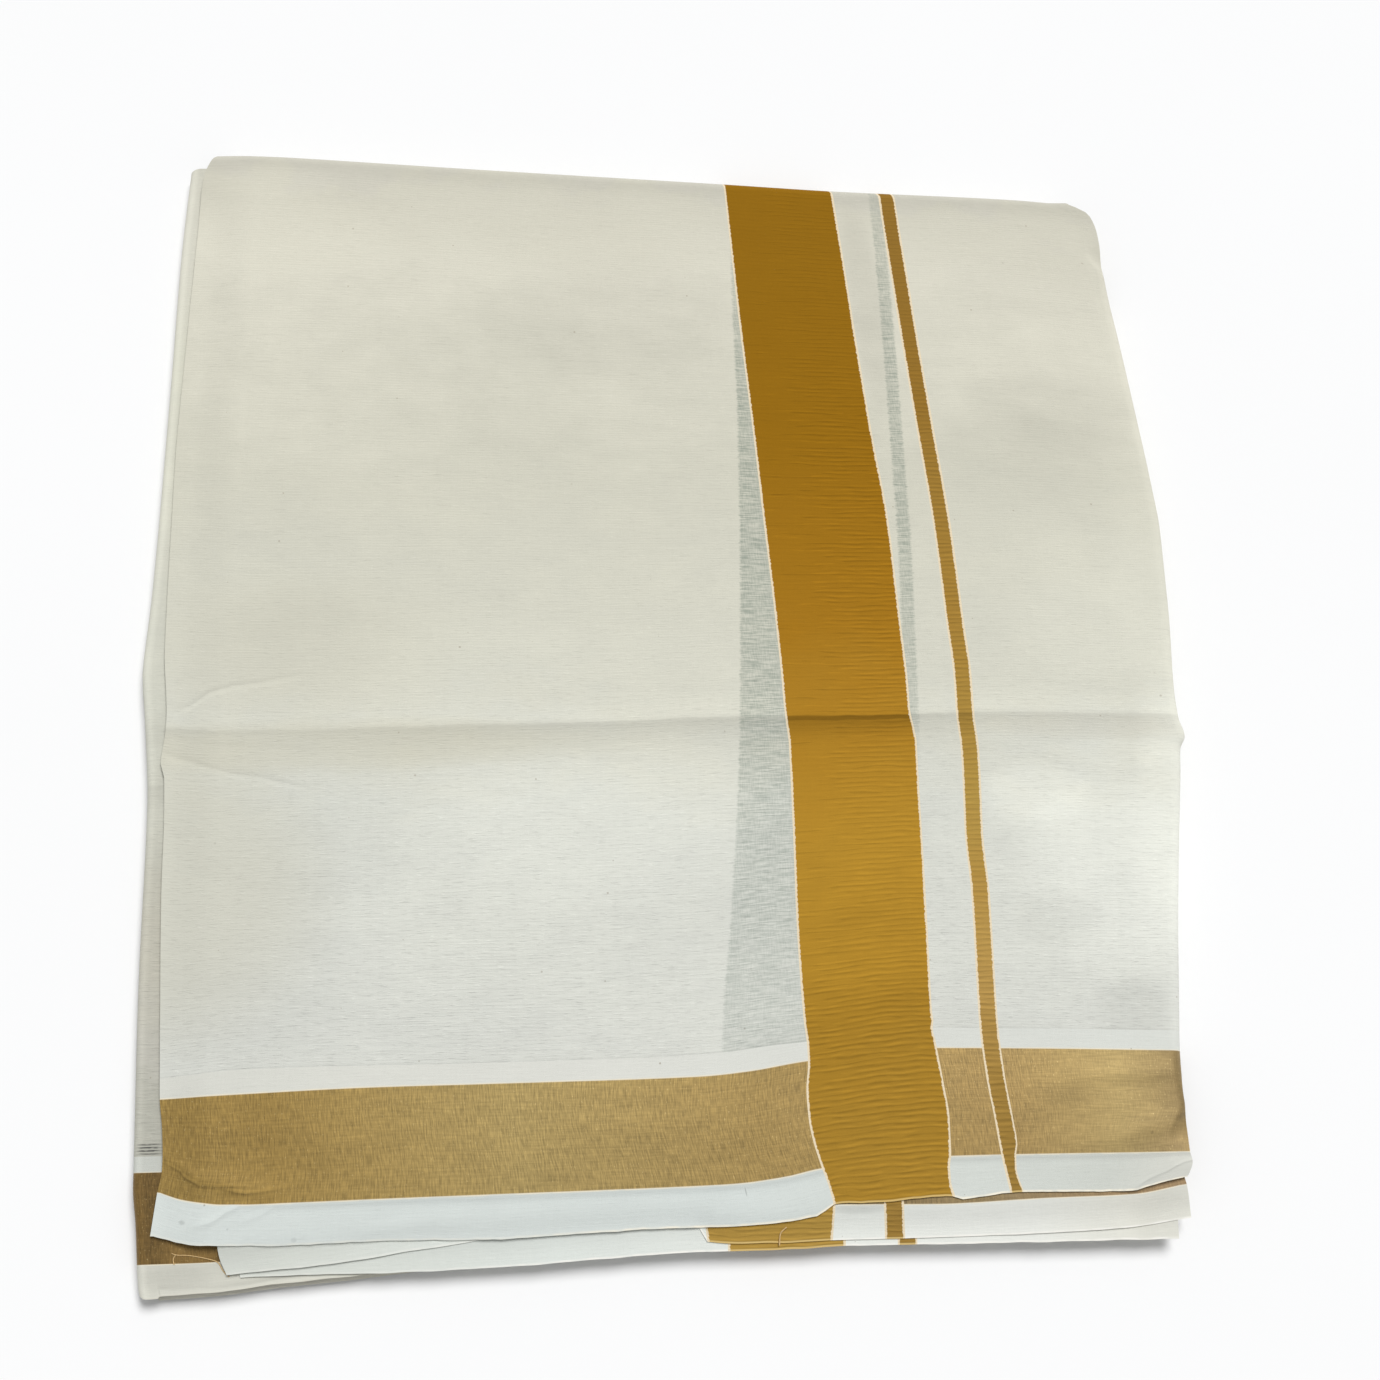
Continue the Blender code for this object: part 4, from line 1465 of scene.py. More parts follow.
    def group(self, shared_group: Callable[[], NodeTree], **values: "Value") -> dict[str, Field]:
        """Place a shared group.

        Args:
            shared_group: gets the group.
            values: its inputs by name. The place on the cloth is added to them.

        Returns:
            Its outputs by name.
        """
        node = self.add("ShaderNodeGroup", {}, node_tree=shared_group())
        if "Across" in node.inputs:
            values = {"Across": self.across, "Along": self.along, **values}
        for name, value in spaced(values).items():
            self.put(node.inputs[name], value)
        return {output.name: Field(self, output) for output in node.outputs}

    def shader(self, **values: "Value") -> None:
        """End a material in a Principled shader with these inputs."""
        surface = self.field("ShaderNodeBsdfPrincipled", spaced(values))
        self.add("ShaderNodeOutputMaterial", {0: surface})


Value = Union[float, Colour, Field]
Fields = dict[str, Field]


def blank_material(name: str) -> tuple[Material, NodeTree]:
    """Make a material of that name, and give it and its tree.

    Args:
        name: that name.

    Returns:
        The material and its node tree.
    """
    material = bpy.data.materials.new(name)
    material.use_nodes = True
    return material, material.node_tree


def open_sockets(group: NodeTree, side: str, labels: Sequence[str]) -> None:
    """Give a shared group its inputs or its outputs, each a value."""
    for label in labels:
        group.interface.new_socket(name=label, in_out=side, socket_type="NodeSocketFloat")


def shared(
    name: str, *inputs: str, on_cloth: bool = True
) -> Callable[[Callable[..., Fields]], Callable]:
    """Make a shared group of what a function lays out.

    Args:
        name: the group's name.
        inputs: the group's inputs, one for each argument of the function past its tree.
        on_cloth: whether it also takes in the place on the cloth, for its tree.

    Returns:
        What turns the function into one that gets the group, and builds it the first time.
    """

    def turn(fill: Callable[..., Fields]) -> Callable[[], NodeTree]:
        """Turn the function that lays out the nodes into the one that gets the group.

        Args:
            fill: lays out the nodes.

        Returns:
            What gets the group.
        """

        @wraps(fill)
        def get() -> NodeTree:
            """Get the group.

            Returns:
                The group.
            """
            group = bpy.data.node_groups.get(name)
            if group:
                return group
            group = bpy.data.node_groups.new(name, "ShaderNodeTree")
            labels = ("Across", "Along", *inputs) if on_cloth else inputs
            open_sockets(group, "INPUT", labels)
            t = Tree(group)
            source = t.add("NodeGroupInput", {})
            given = [Field(t, source.outputs[label]) for label in labels]
            if on_cloth:
                t.across, t.along, *given = given
            made = fill(t, *given)
            open_sockets(group, "OUTPUT", tuple(made))
            t.add("NodeGroupOutput", made)
            return group

        return get

    return turn


@shared("Band Mask", "Place", "Start", "End", "Softness", on_cloth=False)
def band_mask(t: Tree, place: Field, start: Field, end: Field, soft: Field) -> Fields:
    """Mask of what lies between two places.

    Args:
        t: the group's tree.
        place: what is compared with them.
        start: the first place.
        end: the second place.
        soft: half width of the mask's rims.

    Returns:
        The mask.
    """
    return {"Mask": t.ramp(place, start - soft, start + soft) - t.ramp(place, end - soft, end + soft)}


@shared("Handloom Weave", "Pitch", "Slubs")
def handloom_weave(t: Tree, pitch: Field, slubs: Field) -> Fields:
    """A plain weave of uneven yarns, with thick and thin stretches of weft.

    Args:
        t: the group's tree.
        pitch: from yarn to yarn.
        slubs: how uneven the weft is.

    Returns:
        Its shade and height, and a mask of the thin stretches.
    """
    crossing = t.wave(t.across, pitch) * t.wave(t.along, pitch)
    thick = t.ramp(t.grain(4.6, 0.62, 2.0), 0.56, 0.78)
    elsewhere = (t.across + 61.7, t.along + 23.9)
    thin = t.ramp(t.grain(5.4, 0.5, 2.0, at=elsewhere), 0.56, 0.78)
    warp, weft = t.wander(0.7, 7.5), t.wander(26.0, 0.8)
    stretches = (thick - thin) * slubs
    shade = stretches * 0.075 + 1.0 + weft * slubs * 0.1 + warp * 0.035
    height = crossing * 0.02 + stretches * 0.06 + weft * 0.05
    return {"Shade": shade, "Height": height, "Thin": thin}


@shared("Weft Ribs", "Pitch", "Length", "Cover")
def weft_ribs(t: Tree, pitch: Field, length: Field, cover: Field) -> Fields:
    """Broken ribs that run with the weft.

    Args:
        t: the group's tree.
        pitch: from rib to rib.
        length: of a rib's unbroken stretches.
        cover: how much of the cloth shows them.

    Returns:
        A mask of the furrows, the ribs' swell from -1 to 1, and their height.
    """
    bent = t.along + t.wander(18.0, 6.0) * pitch * 0.75
    wave = t.wave(bent, pitch)
    stretch = t.grain(length, pitch * 1.1, at=(t.across, bent))
    shown = t.ramp(stretch, 0.68 - cover, 0.86 - cover)
    mask = t.ramp(wave, 0.3, 1.0) * shown
    swell = wave * (shown * t.ramp(t.grain(9.0, 2.6), 0.3, 0.7, 0.4, 1.3))
    return {"Mask": mask, "Swell": swell, "Height": wave * 0.02 - mask * 0.09}


@shared("Gold Thread", "Grain")
def gold_thread(t: Tree, grain: Field) -> Fields:
    """Flat gilt yarn over cotton, in short upright glints and uneven patches.

    Args:
        t: the group's tree.
        grain: strength of the upright grain.

    Returns:
        Its shade, a mask of its glints, and its height.
    """
    upright = t.wander(0.6, 4.5) * grain
    level, patch = t.wander(11.0, 0.9, 2.0), t.wander(30.0, 13.0, 2.0)
    glint = t.ramp(t.grain(0.7, 1.3), 0.68, 0.86)
    shade = upright * 0.8 + 1.0 + level * 0.34 + patch * 0.2
    return {"Shade": shade, "Glint": glint, "Height": upright * 0.07 + level * 0.05}


@shared("Tone Drift", "Drift")
def tone_drift(t: Tree, drift: Field) -> Fields:
    """Soft drifts of tone and shade.

    Args:
        t: the group's tree.
        drift: how strong they are.

    Returns:
        The way from hem to crosswise fold as a share that wanders, and a shade.
    """
    broad, small = t.wander(95.0, 60.0, 2.0) * drift, t.wander(19.0, 12.0, 2.0) * drift
    place = t.along + broad * 80.0 + small * 36.0
    return {"Share": place / FACE_LENGTH, "Shade": broad * 0.1 + 1.0 + small * 0.07}


@shared("Painted Crease Line", "Place")
def painted_crease_line(t: Tree, place: Field) -> Fields:
    """Painted shade and highlight along the packing crease, in a dark line and beside it.

    Args:
        t: the group's tree.
        place: of the fold, from the hem.

    Returns:
        Masks of its painted dark line, painted shade before it and painted highlight past it.
    """
    past = t.along - place + t.wander(9.0, 60.0) * 0.9
    core = t.fall(abs(past + 0.5), 0.5, 1.8)
    near = t.fall(past, -0.2, 1.0)
    tail = t.ramp(past, -12.0, -1.0, 0.0, 0.5) * near
    wide = t.ramp(past, -26.0, -3.0) * near
    pale = t.ramp(past, 0.6, 3.0) * t.fall(past, 5.0, 17.0)
    return {"Mask": t.math("MAXIMUM", core, tail), "Wide": wide, "Pale": pale}


@shared("Painted Wrinkle Shade", "Past", "Width", "Gleam", on_cloth=False)
def painted_wrinkle_shade(t: Tree, past: Field, width: Field, gleam: Field) -> Fields:
    """Painted shade of a fine crease: painted shade on its near side, a painted highlight on its far one.

    Args:
        t: the group's tree.
        past: distance past the crease's line.
        width: of its painted dark side.
        gleam: strength of the painted highlight on its far side.

    Returns:
        Its painted shade and highlight.
    """
    past = past / width
    dark = t.ramp(past, -2.2, -0.35) * t.fall(past, -0.3, 0.15)
    pale = t.fall(abs(past - 1.1), 0.2, 1.2)
    return {"Shade": pale * gleam - dark}


@shared("Soft Spot", *SPOT_INPUTS)
def soft_spot(t: Tree, at_across: Field, at_along: Field, wide: Field, deep: Field) -> Fields:
    """A soft oval.

    Args:
        t: the group's tree.
        at_across: warp count of its middle.
        at_along: distance of its middle from the hem.
        wide: its reach across.
        deep: its reach along.

    Returns:
        A mask, 1 in its middle and 0 past its rim.
    """
    out, up = (t.across - at_across) / wide, (t.along - at_along) / deep
    away = t.math("POWER", out, 2.0) + t.math("POWER", up, 2.0)
    return {"Mask": t.fall(away, 0.05, 1.0)}


@shared("Seed Specks", "Spread")
def seed_specks(t: Tree, spread: Field) -> Fields:
    """A few dark husk specks spun into the yarn.

    Args:
        t: the group's tree.
        spread: from speck to speck, about.

    Returns:
        Their mask.
    """
    given = {"Vector": t.place(t.across / spread, t.along / spread), "Scale": 1.0}
    cells = t.add("ShaderNodeTexVoronoi", given, voronoi_dimensions="2D", feature="F1")
    drawn = t.add("ShaderNodeSeparateColor", {0: Field(t, cells.outputs["Color"])})
    chance, size = (Field(t, output) for output in drawn.outputs[:2])
    size = size * 0.45 + 0.2
    dot = t.fall(Field(t, cells.outputs["Distance"]) * spread, size * 0.5, size)
    return {"Mask": dot * t.ramp(chance, 0.62, 0.72)}


# ---- Finishes ----


@dataclass(frozen=True)
class Surface:
    """How a finish takes the light."""

    roughness: float
    sheen: float = 0.12
    sheen_roughness: float = 0.5
    specular: float = 0.25
    bump: float = 0.8


class Spot(NamedTuple):
    """One soft patch or speck, by the cloth's cut in millimetres; some are painted light and shade.

    Attributes:
        across: warp count of its middle.
        along: distance of its middle from the hem.
        wide: its reach across.
        deep: its reach along.
        amount: how much it lightens, or darkens below zero, or how strong its own colour is.
        colour: its own, where it is a stain.
    """

    across: float
    along: float
    wide: float
    deep: float
    amount: float
    colour: Optional[Colour] = None


class Wrinkle(NamedTuple):
    """The painted shade and highlight of one fine crease, by the cloth's cut in millimetres.

    Attributes:
        rows: (across, along, depth of its shade) of points on it, from left to right.
        width: of its painted dark side, about; below zero where its far side is the dark one.
        gleam: strength of the painted highlight on its far side, beside the depth of the dark one.
    """

    rows: tuple[Triple, ...]
    width: float
    gleam: float


def wrinkle(width: float, gleam: float, *rows: Triple) -> Wrinkle:
    """Make the painted shade and highlight of a fine crease through these rows."""
    return Wrinkle(rows, width, gleam)


# A wrinkle's line is kept as a colour, in units of this many millimetres.
WRINKLE_UNIT = 100.0


class Painter(Tree):
    """Starts a material on the cloth's own thread coordinates, and finishes its shader."""

    def __init__(self, name: str, surface: Surface) -> None:
        """Make a material of that name, for a surface, and read its thread coordinates.

        Args:
            name: the material's name.
            surface: how it takes the light.
        """
        self.material, tree = blank_material(name)
        super().__init__(tree)
        self.surface = surface
        self.across, self.along = self.read("cloth")

    def read(self, layer: str) -> tuple[Field, Field]:
        """Read the two lengths of a UV map in millimetres."""
        return self.parts(self.shade(self.field("ShaderNodeUVMap", {}, uv_map=layer), 1 / MM))

    def spot(self, spot: Spot) -> Field:
        """Mask one spot, times its amount."""
        place = dict(zip(SPOT_INPUTS, spot))
        return self.group(soft_spot, **place)["Mask"] * spot.amount

    def spotted(self, shade: Field, specks_and_painted_light: Sequence[Spot]) -> Field:
        """Lighten or darken a shade at a few places: specks, tone patches, painted light and shade."""
        return sum(map(self.spot, specks_and_painted_light), shade)

    def stained(self, colour: Field, stains: Sequence[Spot]) -> Field:
        """Lay soft patches of other tones over a colour.

        Args:
            colour: the colour without them.
            stains: the patches.

        Returns:
            The colour with them.
        """
        for stain in stains:
            colour = self.blend(self.spot(stain), colour, stain.colour)
        return colour

    def wrinkled(self, shade: Field, painted_wrinkles: Sequence[Wrinkle]) -> Field:
        """Paint shade and highlight along a few fine creases.

        Args:
            shade: the shade without them.
            painted_wrinkles: the creases whose shade and highlight are painted.

        Returns:
            The shade with them.
        """
        for rows, width, gleam in painted_wrinkles:
            first, reach = rows[0][0], rows[-1][0] - rows[0][0]
            marks = [((a - first) / reach, (b / WRINKLE_UNIT, deep, 0.0)) for a, b, deep in rows]
            line, depth = self.parts(self.gradient((self.across - first) / reach, marks))
            past = self.along - line * WRINKLE_UNIT
            crease = self.group(painted_wrinkle_shade, Past=past, Width=width, Gleam=gleam)["Shade"]
            shade = shade + crease * depth
        return shade

    def finish(
        self, colour: Field, height: Field, metallic: Value = 0.0, roughness: Optional[Field] = None
    ) -> Material:
        """Join colour and relief to the shader.

        Args:
            colour: the base colour.
            height: the relief in millimetres.
            metallic: share of metal.
            roughness: where it changes over the surface.

        Returns:
            The finished material.
        """
        surface = self.surface
        relief = {"Strength": surface.bump, "Distance": MM, "Height": height}
        self.shader(
            Base_Color=colour, Metallic=metallic, Normal=self.field("ShaderNodeBump", relief),
            Roughness=surface.roughness if roughness is None else roughness,
            Specular_IOR_Level=surface.specular, Sheen_Weight=surface.sheen,
            Sheen_Roughness=surface.sheen_roughness,
        )
        return self.material


# From yarn to yarn, in the open weave and in the dense one.
YARN_PITCH, DENSE_PITCH = 0.36, 0.3
GOLD_MIDDLE = (MARGIN_END + GOLD_END) / 2
# The tones change from the border's to the stripe's here, between the two.
STRIPE_TONES_START, STRIPE_TONES_FULL = 327.0, 328.0

# How strongly the layer beneath shows, for each Y: its border, and its stripe.
BENEATH_START, BENEATH_RUN = -170.0, 415.0
BORDER_SHOWS = (
    (-170, 0.17), (-110, 0.24), (-60, 0.26), (-30, 0.3), (-20, 0.31), (60, 0.35), (150, 0.34),
    (205, 0.22), (245, 0.1),
)
STRIPE_SHOWS = (
    (-170, 0.0), (-60, 0.03), (-34, 0.08), (-24, 0.24), (60, 0.32), (160, 0.34), (215, 0.26),
    (245, 0.16),
)

# Grey check threads: (distance from the hem, strength).
CHECKS = ((65.9, 0.7), (67.0, 1.0), (68.1, 1.0), (69.2, 0.75))

CREAM = srgb(234, 217, 186)
CREAM_BY_GOLD = srgb(238, 228, 204)
HUSK, DENSE_HUSK = srgb(120, 98, 70), srgb(135, 118, 92)
SEEN_THROUGH = srgb(106, 124, 112)
CHECK_GREY = srgb(86, 86, 82)
LIT_MUSTARD = srgb(226, 198, 134)
GLINT = srgb(226, 200, 140)
FLOOR_DARK, FLOOR_PALE = (0.93, 0.93, 0.93), (0.95, 0.95, 0.95)


@dataclass(frozen=True)
class GroundCotton:
    """The open off-white ground of the cloth.

    Attributes:
        name: the material's name.
        tones: colour from the hem to the crosswise fold.
        specks_and_painted_light: its specks and pale and dark patches; some are painted light, some
            painted shade.
        stains: its soft patches of another tone.
        painted_wrinkles: painted shade and highlight of its fine creases.
        shows_beneath: whether the border of the layer beneath shows through.
        checked: whether a few grey check threads cross it beside the dense strip.
        surface: how it takes the light.
    """

    name: str
    tones: Stops
    specks_and_painted_light: tuple[Spot, ...] = ()
    stains: tuple[Spot, ...] = ()
    painted_wrinkles: tuple[Wrinkle, ...] = ()
    shows_beneath: bool = False
    checked: bool = False
    surface: Surface = Surface(roughness=0.88)

    def _see_through(self, t: Painter, thin: Field) -> Field:
        """Find how strongly the border and the stripe beneath show through.

        Args:
            t: the material's painter.
            thin: where the weft is thin.

        Returns:
            Their strength.
        """
        count, place = t.read("beneath")
        count = count + t.wander(5.0, 0.9) * 2.0
        share = (place - BENEATH_START) / BENEATH_RUN
        shown = []
        for start, end, rows in (
            (BAND_START, BAND_END, BORDER_SHOWS), (STRIPE_START, STRIPE_END, STRIPE_SHOWS),
        ):
            mask = t.group(band_mask, Place=count, Start=start, End=end, Softness=0.7)["Mask"]
            marks = [((at - BENEATH_START) / BENEATH_RUN, (level,) * 3) for at, level in rows]
            shown.append(mask * t.gradient(share, marks))
        dashes = t.ramp(t.grain(8.0, 0.55), 0.3, 0.7, 1.55, 0.45)
        hairs = t.ramp(t.grain(0.55, 4.0), 0.3, 0.7, -0.22, 0.22)
        return (shown[0] + shown[1]) * (dashes + hairs + thin * 0.2)

    def _checks(self, t: Painter, colour: Field) -> Field:
        """Lay a few grey check threads over the colour.

        Args:
            t: the material's painter.
            colour: the ground without them.

        Returns:
            The ground with them.
        """
        fade = t.ramp(t.across, -418.0, -413.5) * t.fall(t.across, -410.0, -404.5)
        uneven = t.ramp(t.grain(3.0, 0.8), 0.3, 0.6, 0.5, 1.0)
        for place, strength in CHECKS:
            line = t.fall(abs(t.along - place), 0.14, 0.5)
            colour = t.blend(line * fade * (uneven * strength), colour, CHECK_GREY)
        return colour

    def make(self) -> Material:
        """Make the material.

        Returns:
            The material.
        """
        t = Painter(self.name, self.surface)
        across, along = t.across, t.along
        drift = t.group(tone_drift, Drift=1.0)
        slubs = t.ramp(along, 90.0, 330.0, 1.25, 0.55)
        weave = t.group(handloom_weave, Pitch=YARN_PITCH, Slubs=slubs)
        cover = t.ramp(t.grain(55.0, 26.0), 0.42, 0.7, -0.12, 0.05)
        cover = cover + t.ramp(along, 66.0, 260.0, 0.34, 0.1)
        ribs = t.group(weft_ribs, Pitch=1.3, Length=9.0, Cover=cover)
        shade = (weave["Shade"] - ribs["Mask"] * 0.06) * drift["Shade"]
        seam = t.group(
            band_mask, Place=along, Start=DENSE_END - 0.2, End=DENSE_END + 0.9, Softness=0.4
        )
        shade = t.spotted(shade, self.specks_and_painted_light) - seam["Mask"] * 0.05
        # Painted shade along the packing crease, with a painted highlight past it.
        fold = t.group(painted_crease_line, Place=CREASE_PLACE)
        deep = t.ramp(across, 60.0, 115.0, -0.012, -0.045) * t.ramp(across, 325.0, 360.0, 1.0, 0.1)
        pressed = 1.0 - fold["Mask"] * 0.075 + fold["Wide"] * deep
        gleam = fold["Pale"] * t.ramp(across, 40.0, 130.0, 0.0, 0.045)
        # Painted shade where the face turns over at the crosswise fold.
        painted_fold_shade = t.ramp(along, 480.0, 492.0, 0.0, -0.075)
        shade = t.wrinkled(shade * (pressed + gleam) + painted_fold_shade, self.painted_wrinkles)
        colour = t.shade(t.gradient(drift["Share"], self.tones), shade)
        colour = t.stained(colour, self.stains)
        specks = t.group(seed_specks, Spread=27.0)["Mask"]
        colour = t.blend(specks * 0.35, colour, HUSK)
        if self.shows_beneath:
            colour = t.blend(self._see_through(t, weave["Thin"]), colour, SEEN_THROUGH)
        if self.checked:
            colour = self._checks(t, colour)
        return t.finish(colour, weave["Height"] + ribs["Height"] * 0.5)


@dataclass(frozen=True)
class DenseCotton:
    """The closer white weave of the hem margin and of the strip above the gold band.

    Attributes:
        name: the material's name.
        margin: colour of the margin from left to right.
        strip: colour of the strip from left to right.
        hem: cream of the hem's own edge, partly its cream yarn and partly a painted highlight.
        painted_hem_shadow: how far the margin darkens towards the gold band, as painted shadow of the hem
            that covers it.
        painted_light_past_hem: how strongly painted light lifts it right beside the hem that covers it,
            against the shadow there.
        specks_and_painted_light: its specks, and its painted shadows.
        painted_wrinkles: painted shade and highlight of its fine creases.
        surface: how it takes the light.
    """

    name: str
    margin: Stops
    strip: Stops
    hem: Colour
    painted_hem_shadow: float = 0.0
    painted_light_past_hem: float = 0.0
    specks_and_painted_light: tuple[Spot, ...] = ()
    painted_wrinkles: tuple[Wrinkle, ...] = ()
    surface: Surface = Surface(roughness=0.86, sheen=0.08)

    def make(self) -> Material:
        """Make the material.

        Returns:
            The material.
        """
        t = Painter(self.name, self.surface)
        across, along = t.across, t.along
        margin, strip = (t.gradient(across / FACE_WIDTH, tones) for tones in (self.margin, self.strip))
        weave = t.group(handloom_weave, Pitch=DENSE_PITCH, Slubs=0.45)
        shade = weave["Shade"] * t.group(tone_drift, Drift=0.7)["Shade"]
        # Painted shadow: darker away from its own hem, towards the hem that covers it.
        shade = shade + t.ramp(along, 3.0, 13.0, 0.0, -self.painted_hem_shadow)
        shade = t.wrinkled(t.spotted(shade, self.specks_and_painted_light), self.painted_wrinkles)
        # Painted light in a strip just past the covering hem, against the shadow that hem casts.
        if self.painted_light_past_hem:
            past = t.read("beneath")[0]
            beside = t.ramp(past, 0.02, 0.2) * t.fall(past, 0.4, 1.0)
            shade = shade + beside * self.painted_light_past_hem
        colour = t.shade(t.blend(t.ramp(along, 30.0, 40.0), margin, strip), shade)
        uneven = t.ramp(t.grain(6.0, 9.0), 0.3, 0.65, 0.45, 1.0)
        # The hem's edge turns cream: partly its cream yarn, partly a painted highlight that grows to the
        # right.
        edge = t.fall(along, 0.3, 1.1) * uneven * t.ramp(across, 120.0, 240.0, 0.3, 1.1)
        colour = t.blend(edge, colour, self.hem)
        by_gold = t.fall(abs(along - GOLD_MIDDLE), 21.0, 21.7)
        colour = t.blend(by_gold * uneven, colour, CREAM_BY_GOLD)
        specks = t.group(seed_specks, Spread=23.0)["Mask"]
        colour = t.blend(specks * 0.5, colour, DENSE_HUSK)
        return t.finish(colour, weave["Height"])


@dataclass(frozen=True)
class BorderCotton:
    """The mustard border and stripe, with their cream hairlines.

    Attributes:
        name: the material's name.
        tones: mustard from the hem to the crosswise fold.
        stripe: tone of the thin stripe, the same way.
        hairline: cream of the hairlines.
        folded: how dark the painted shade along the packing crease is.
        hem: strength of the painted highlight along its hem's edge.
        surface: how it takes the light.
    """

    name: str
    tones: Stops
    stripe: Stops
    hairline: Colour
    folded: float = 0.42
    hem: float = 0.7
    surface: Surface = Surface(roughness=0.85, sheen=0.0, specular=0.06)

    def make(self) -> Material:
        """Make the material.

        Returns:
            The material.
        """
        t = Painter(self.name, self.surface)
        across, along = t.across, t.along
        drift = t.group(tone_drift, Drift=0.8)
        border, stripe = (t.gradient(drift["Share"], tones) for tones in (self.tones, self.stripe))
        mustard = t.blend(t.ramp(across, STRIPE_TONES_START, STRIPE_TONES_FULL), border, stripe)
        weave = t.group(handloom_weave, Pitch=YARN_PITCH, Slubs=0.5)
        rightward = t.ramp(across, 270.0, 302.0, -0.24, 0.08) * t.ramp(along, 60.0, 150.0, 0.2, 1.0)
        cover = rightward + t.ramp(along, 60.0, 280.0, 0.42, 0.3)
        ribs = t.group(weft_ribs, Pitch=2.32, Length=20.0, Cover=cover)
        depth = t.ramp(along, 60.0, 120.0, -0.165, -0.1) + t.ramp(along, 200.0, 230.0, 0.0, -0.04)
        depth = depth + t.ramp(along, 330.0, 430.0, 0.0, 0.09)
        shade = (weave["Shade"] + ribs["Swell"] * depth) * drift["Shade"]
        # Painted shade along the packing crease, half as dark on the stripe.
        fold = t.group(painted_crease_line, Place=CREASE_PLACE)["Mask"]
        painted_crease_dark = t.ramp(
            across, STRIPE_TONES_START, STRIPE_TONES_FULL, -self.folded, -self.folded / 2
        )
        colour = t.shade(mustard, shade * (fold * painted_crease_dark + 1.0))
        count = across + t.wander(4.0, 1.1, 2.0) * 0.9
        masks = [
            t.group(band_mask, Place=count, Start=start, End=end, Softness=0.18)["Mask"]
            for start, end in ((BAND_START, BAND_END), (STRIPE_START, STRIPE_END))
        ]
        inside = masks[0] + masks[1]
        # Painted highlight along the hem's edge.
        colour = t.blend(t.fall(along, 0.45, 0.95) * self.hem, colour, LIT_MUSTARD)
        colour = t.blend(inside, t.shade(self.hairline, weave["Shade"]), colour)
        return t.finish(colour, weave["Height"] + ribs["Height"] + (1.0 - inside) * 0.06)


@dataclass(frozen=True)
class GoldBand:
    """The cross band of gilt yarn.

    Attributes:
        name: the material's name.
        tones: colour from left to right.
        edge: pale cotton along its two edges.
        specks_and_painted_light: its specks and patches, some painted shade and highlight of small
            wrinkles.
        painted_wrinkles: painted shade and highlight of its fine creases.
        metal: share of metal in the gilt.
        surface: how it takes the light.
    """

    name: str
    tones: Stops
    edge: Colour
    specks_and_painted_light: tuple[Spot, ...] = ()
    painted_wrinkles: tuple[Wrinkle, ...] = ()
    metal: float = 0.35
    surface: Surface = Surface(roughness=0.55, sheen=0.03, specular=0.3, bump=0.9)

    def make(self) -> Material:
        """Make the material.

        Returns:
            The material.
        """
        t = Painter(self.name, self.surface)
        gilt = t.group(gold_thread, Grain=t.ramp(t.across, 345.0, 390.0, 1.0, 0.45))
        ribs = t.group(weft_ribs, Pitch=1.7, Length=11.0, Cover=0.27)
        shade = t.spotted(gilt["Shade"] - ribs["Mask"] * 0.03, self.specks_and_painted_light)
        tone = t.gradient(t.across / FACE_WIDTH, self.tones)
        colour = t.shade(tone, t.wrinkled(shade, self.painted_wrinkles))
        colour = t.blend(gilt["Glint"] * 0.4, colour, GLINT)
        edge = t.ramp(abs(t.along - GOLD_MIDDLE), 20.65, 21.0)
        colour = t.blend(edge * 0.4, colour, self.edge)
        roughness = self.surface.roughness - gilt["Glint"] * 0.12
        return t.finish(colour, gilt["Height"], (1.0 - edge) * self.metal, roughness)


@dataclass(frozen=True)
class PlainYarn:
    """Bare yarn, for the hidden layers."""

    name: str
    tones: Stops
    surface: Surface = Surface(roughness=0.9)

    def make(self) -> Material:
        """Make the material.

        Returns:
            The material.
        """
        t = Painter(self.name, self.surface)
        tone = t.gradient(t.group(tone_drift, Drift=1.0)["Share"], self.tones)
        weave = t.group(handloom_weave, Pitch=YARN_PITCH, Slubs=0.8)
        return t.finish(t.shade(tone, weave["Shade"]), weave["Height"])


@dataclass(frozen=True)
class ThreadYarn:
    """Twisted yarn of a loose thread, striped along its twist."""

    name: str = "loose_thread_yarn"
    colour: Colour = srgb(214, 180, 124)

    def make(self) -> Material:
        """Make the material.

        Returns:
            The material.
        """
        material, tree = blank_material(self.name)
        t = Tree(tree)
        shade = t.ramp(t.object_noise(1400.0), 0.35, 0.7, 0.85, 1.08)
        t.shader(Base_Color=t.shade(self.colour, shade), Roughness=0.7, Sheen_Weight=0.2)
        return material


@dataclass(frozen=True)
class ClothFinishes:
    """The four finishes of one cloth, in the order of its zones."""

    ground: GroundCotton
    dense: DenseCotton
    border: BorderCotton
    gold: GoldBand

    def make(self) -> list[Material]:
        """Make them all."""
        return [part.make() for part in (self.ground, self.dense, self.border, self.gold)]


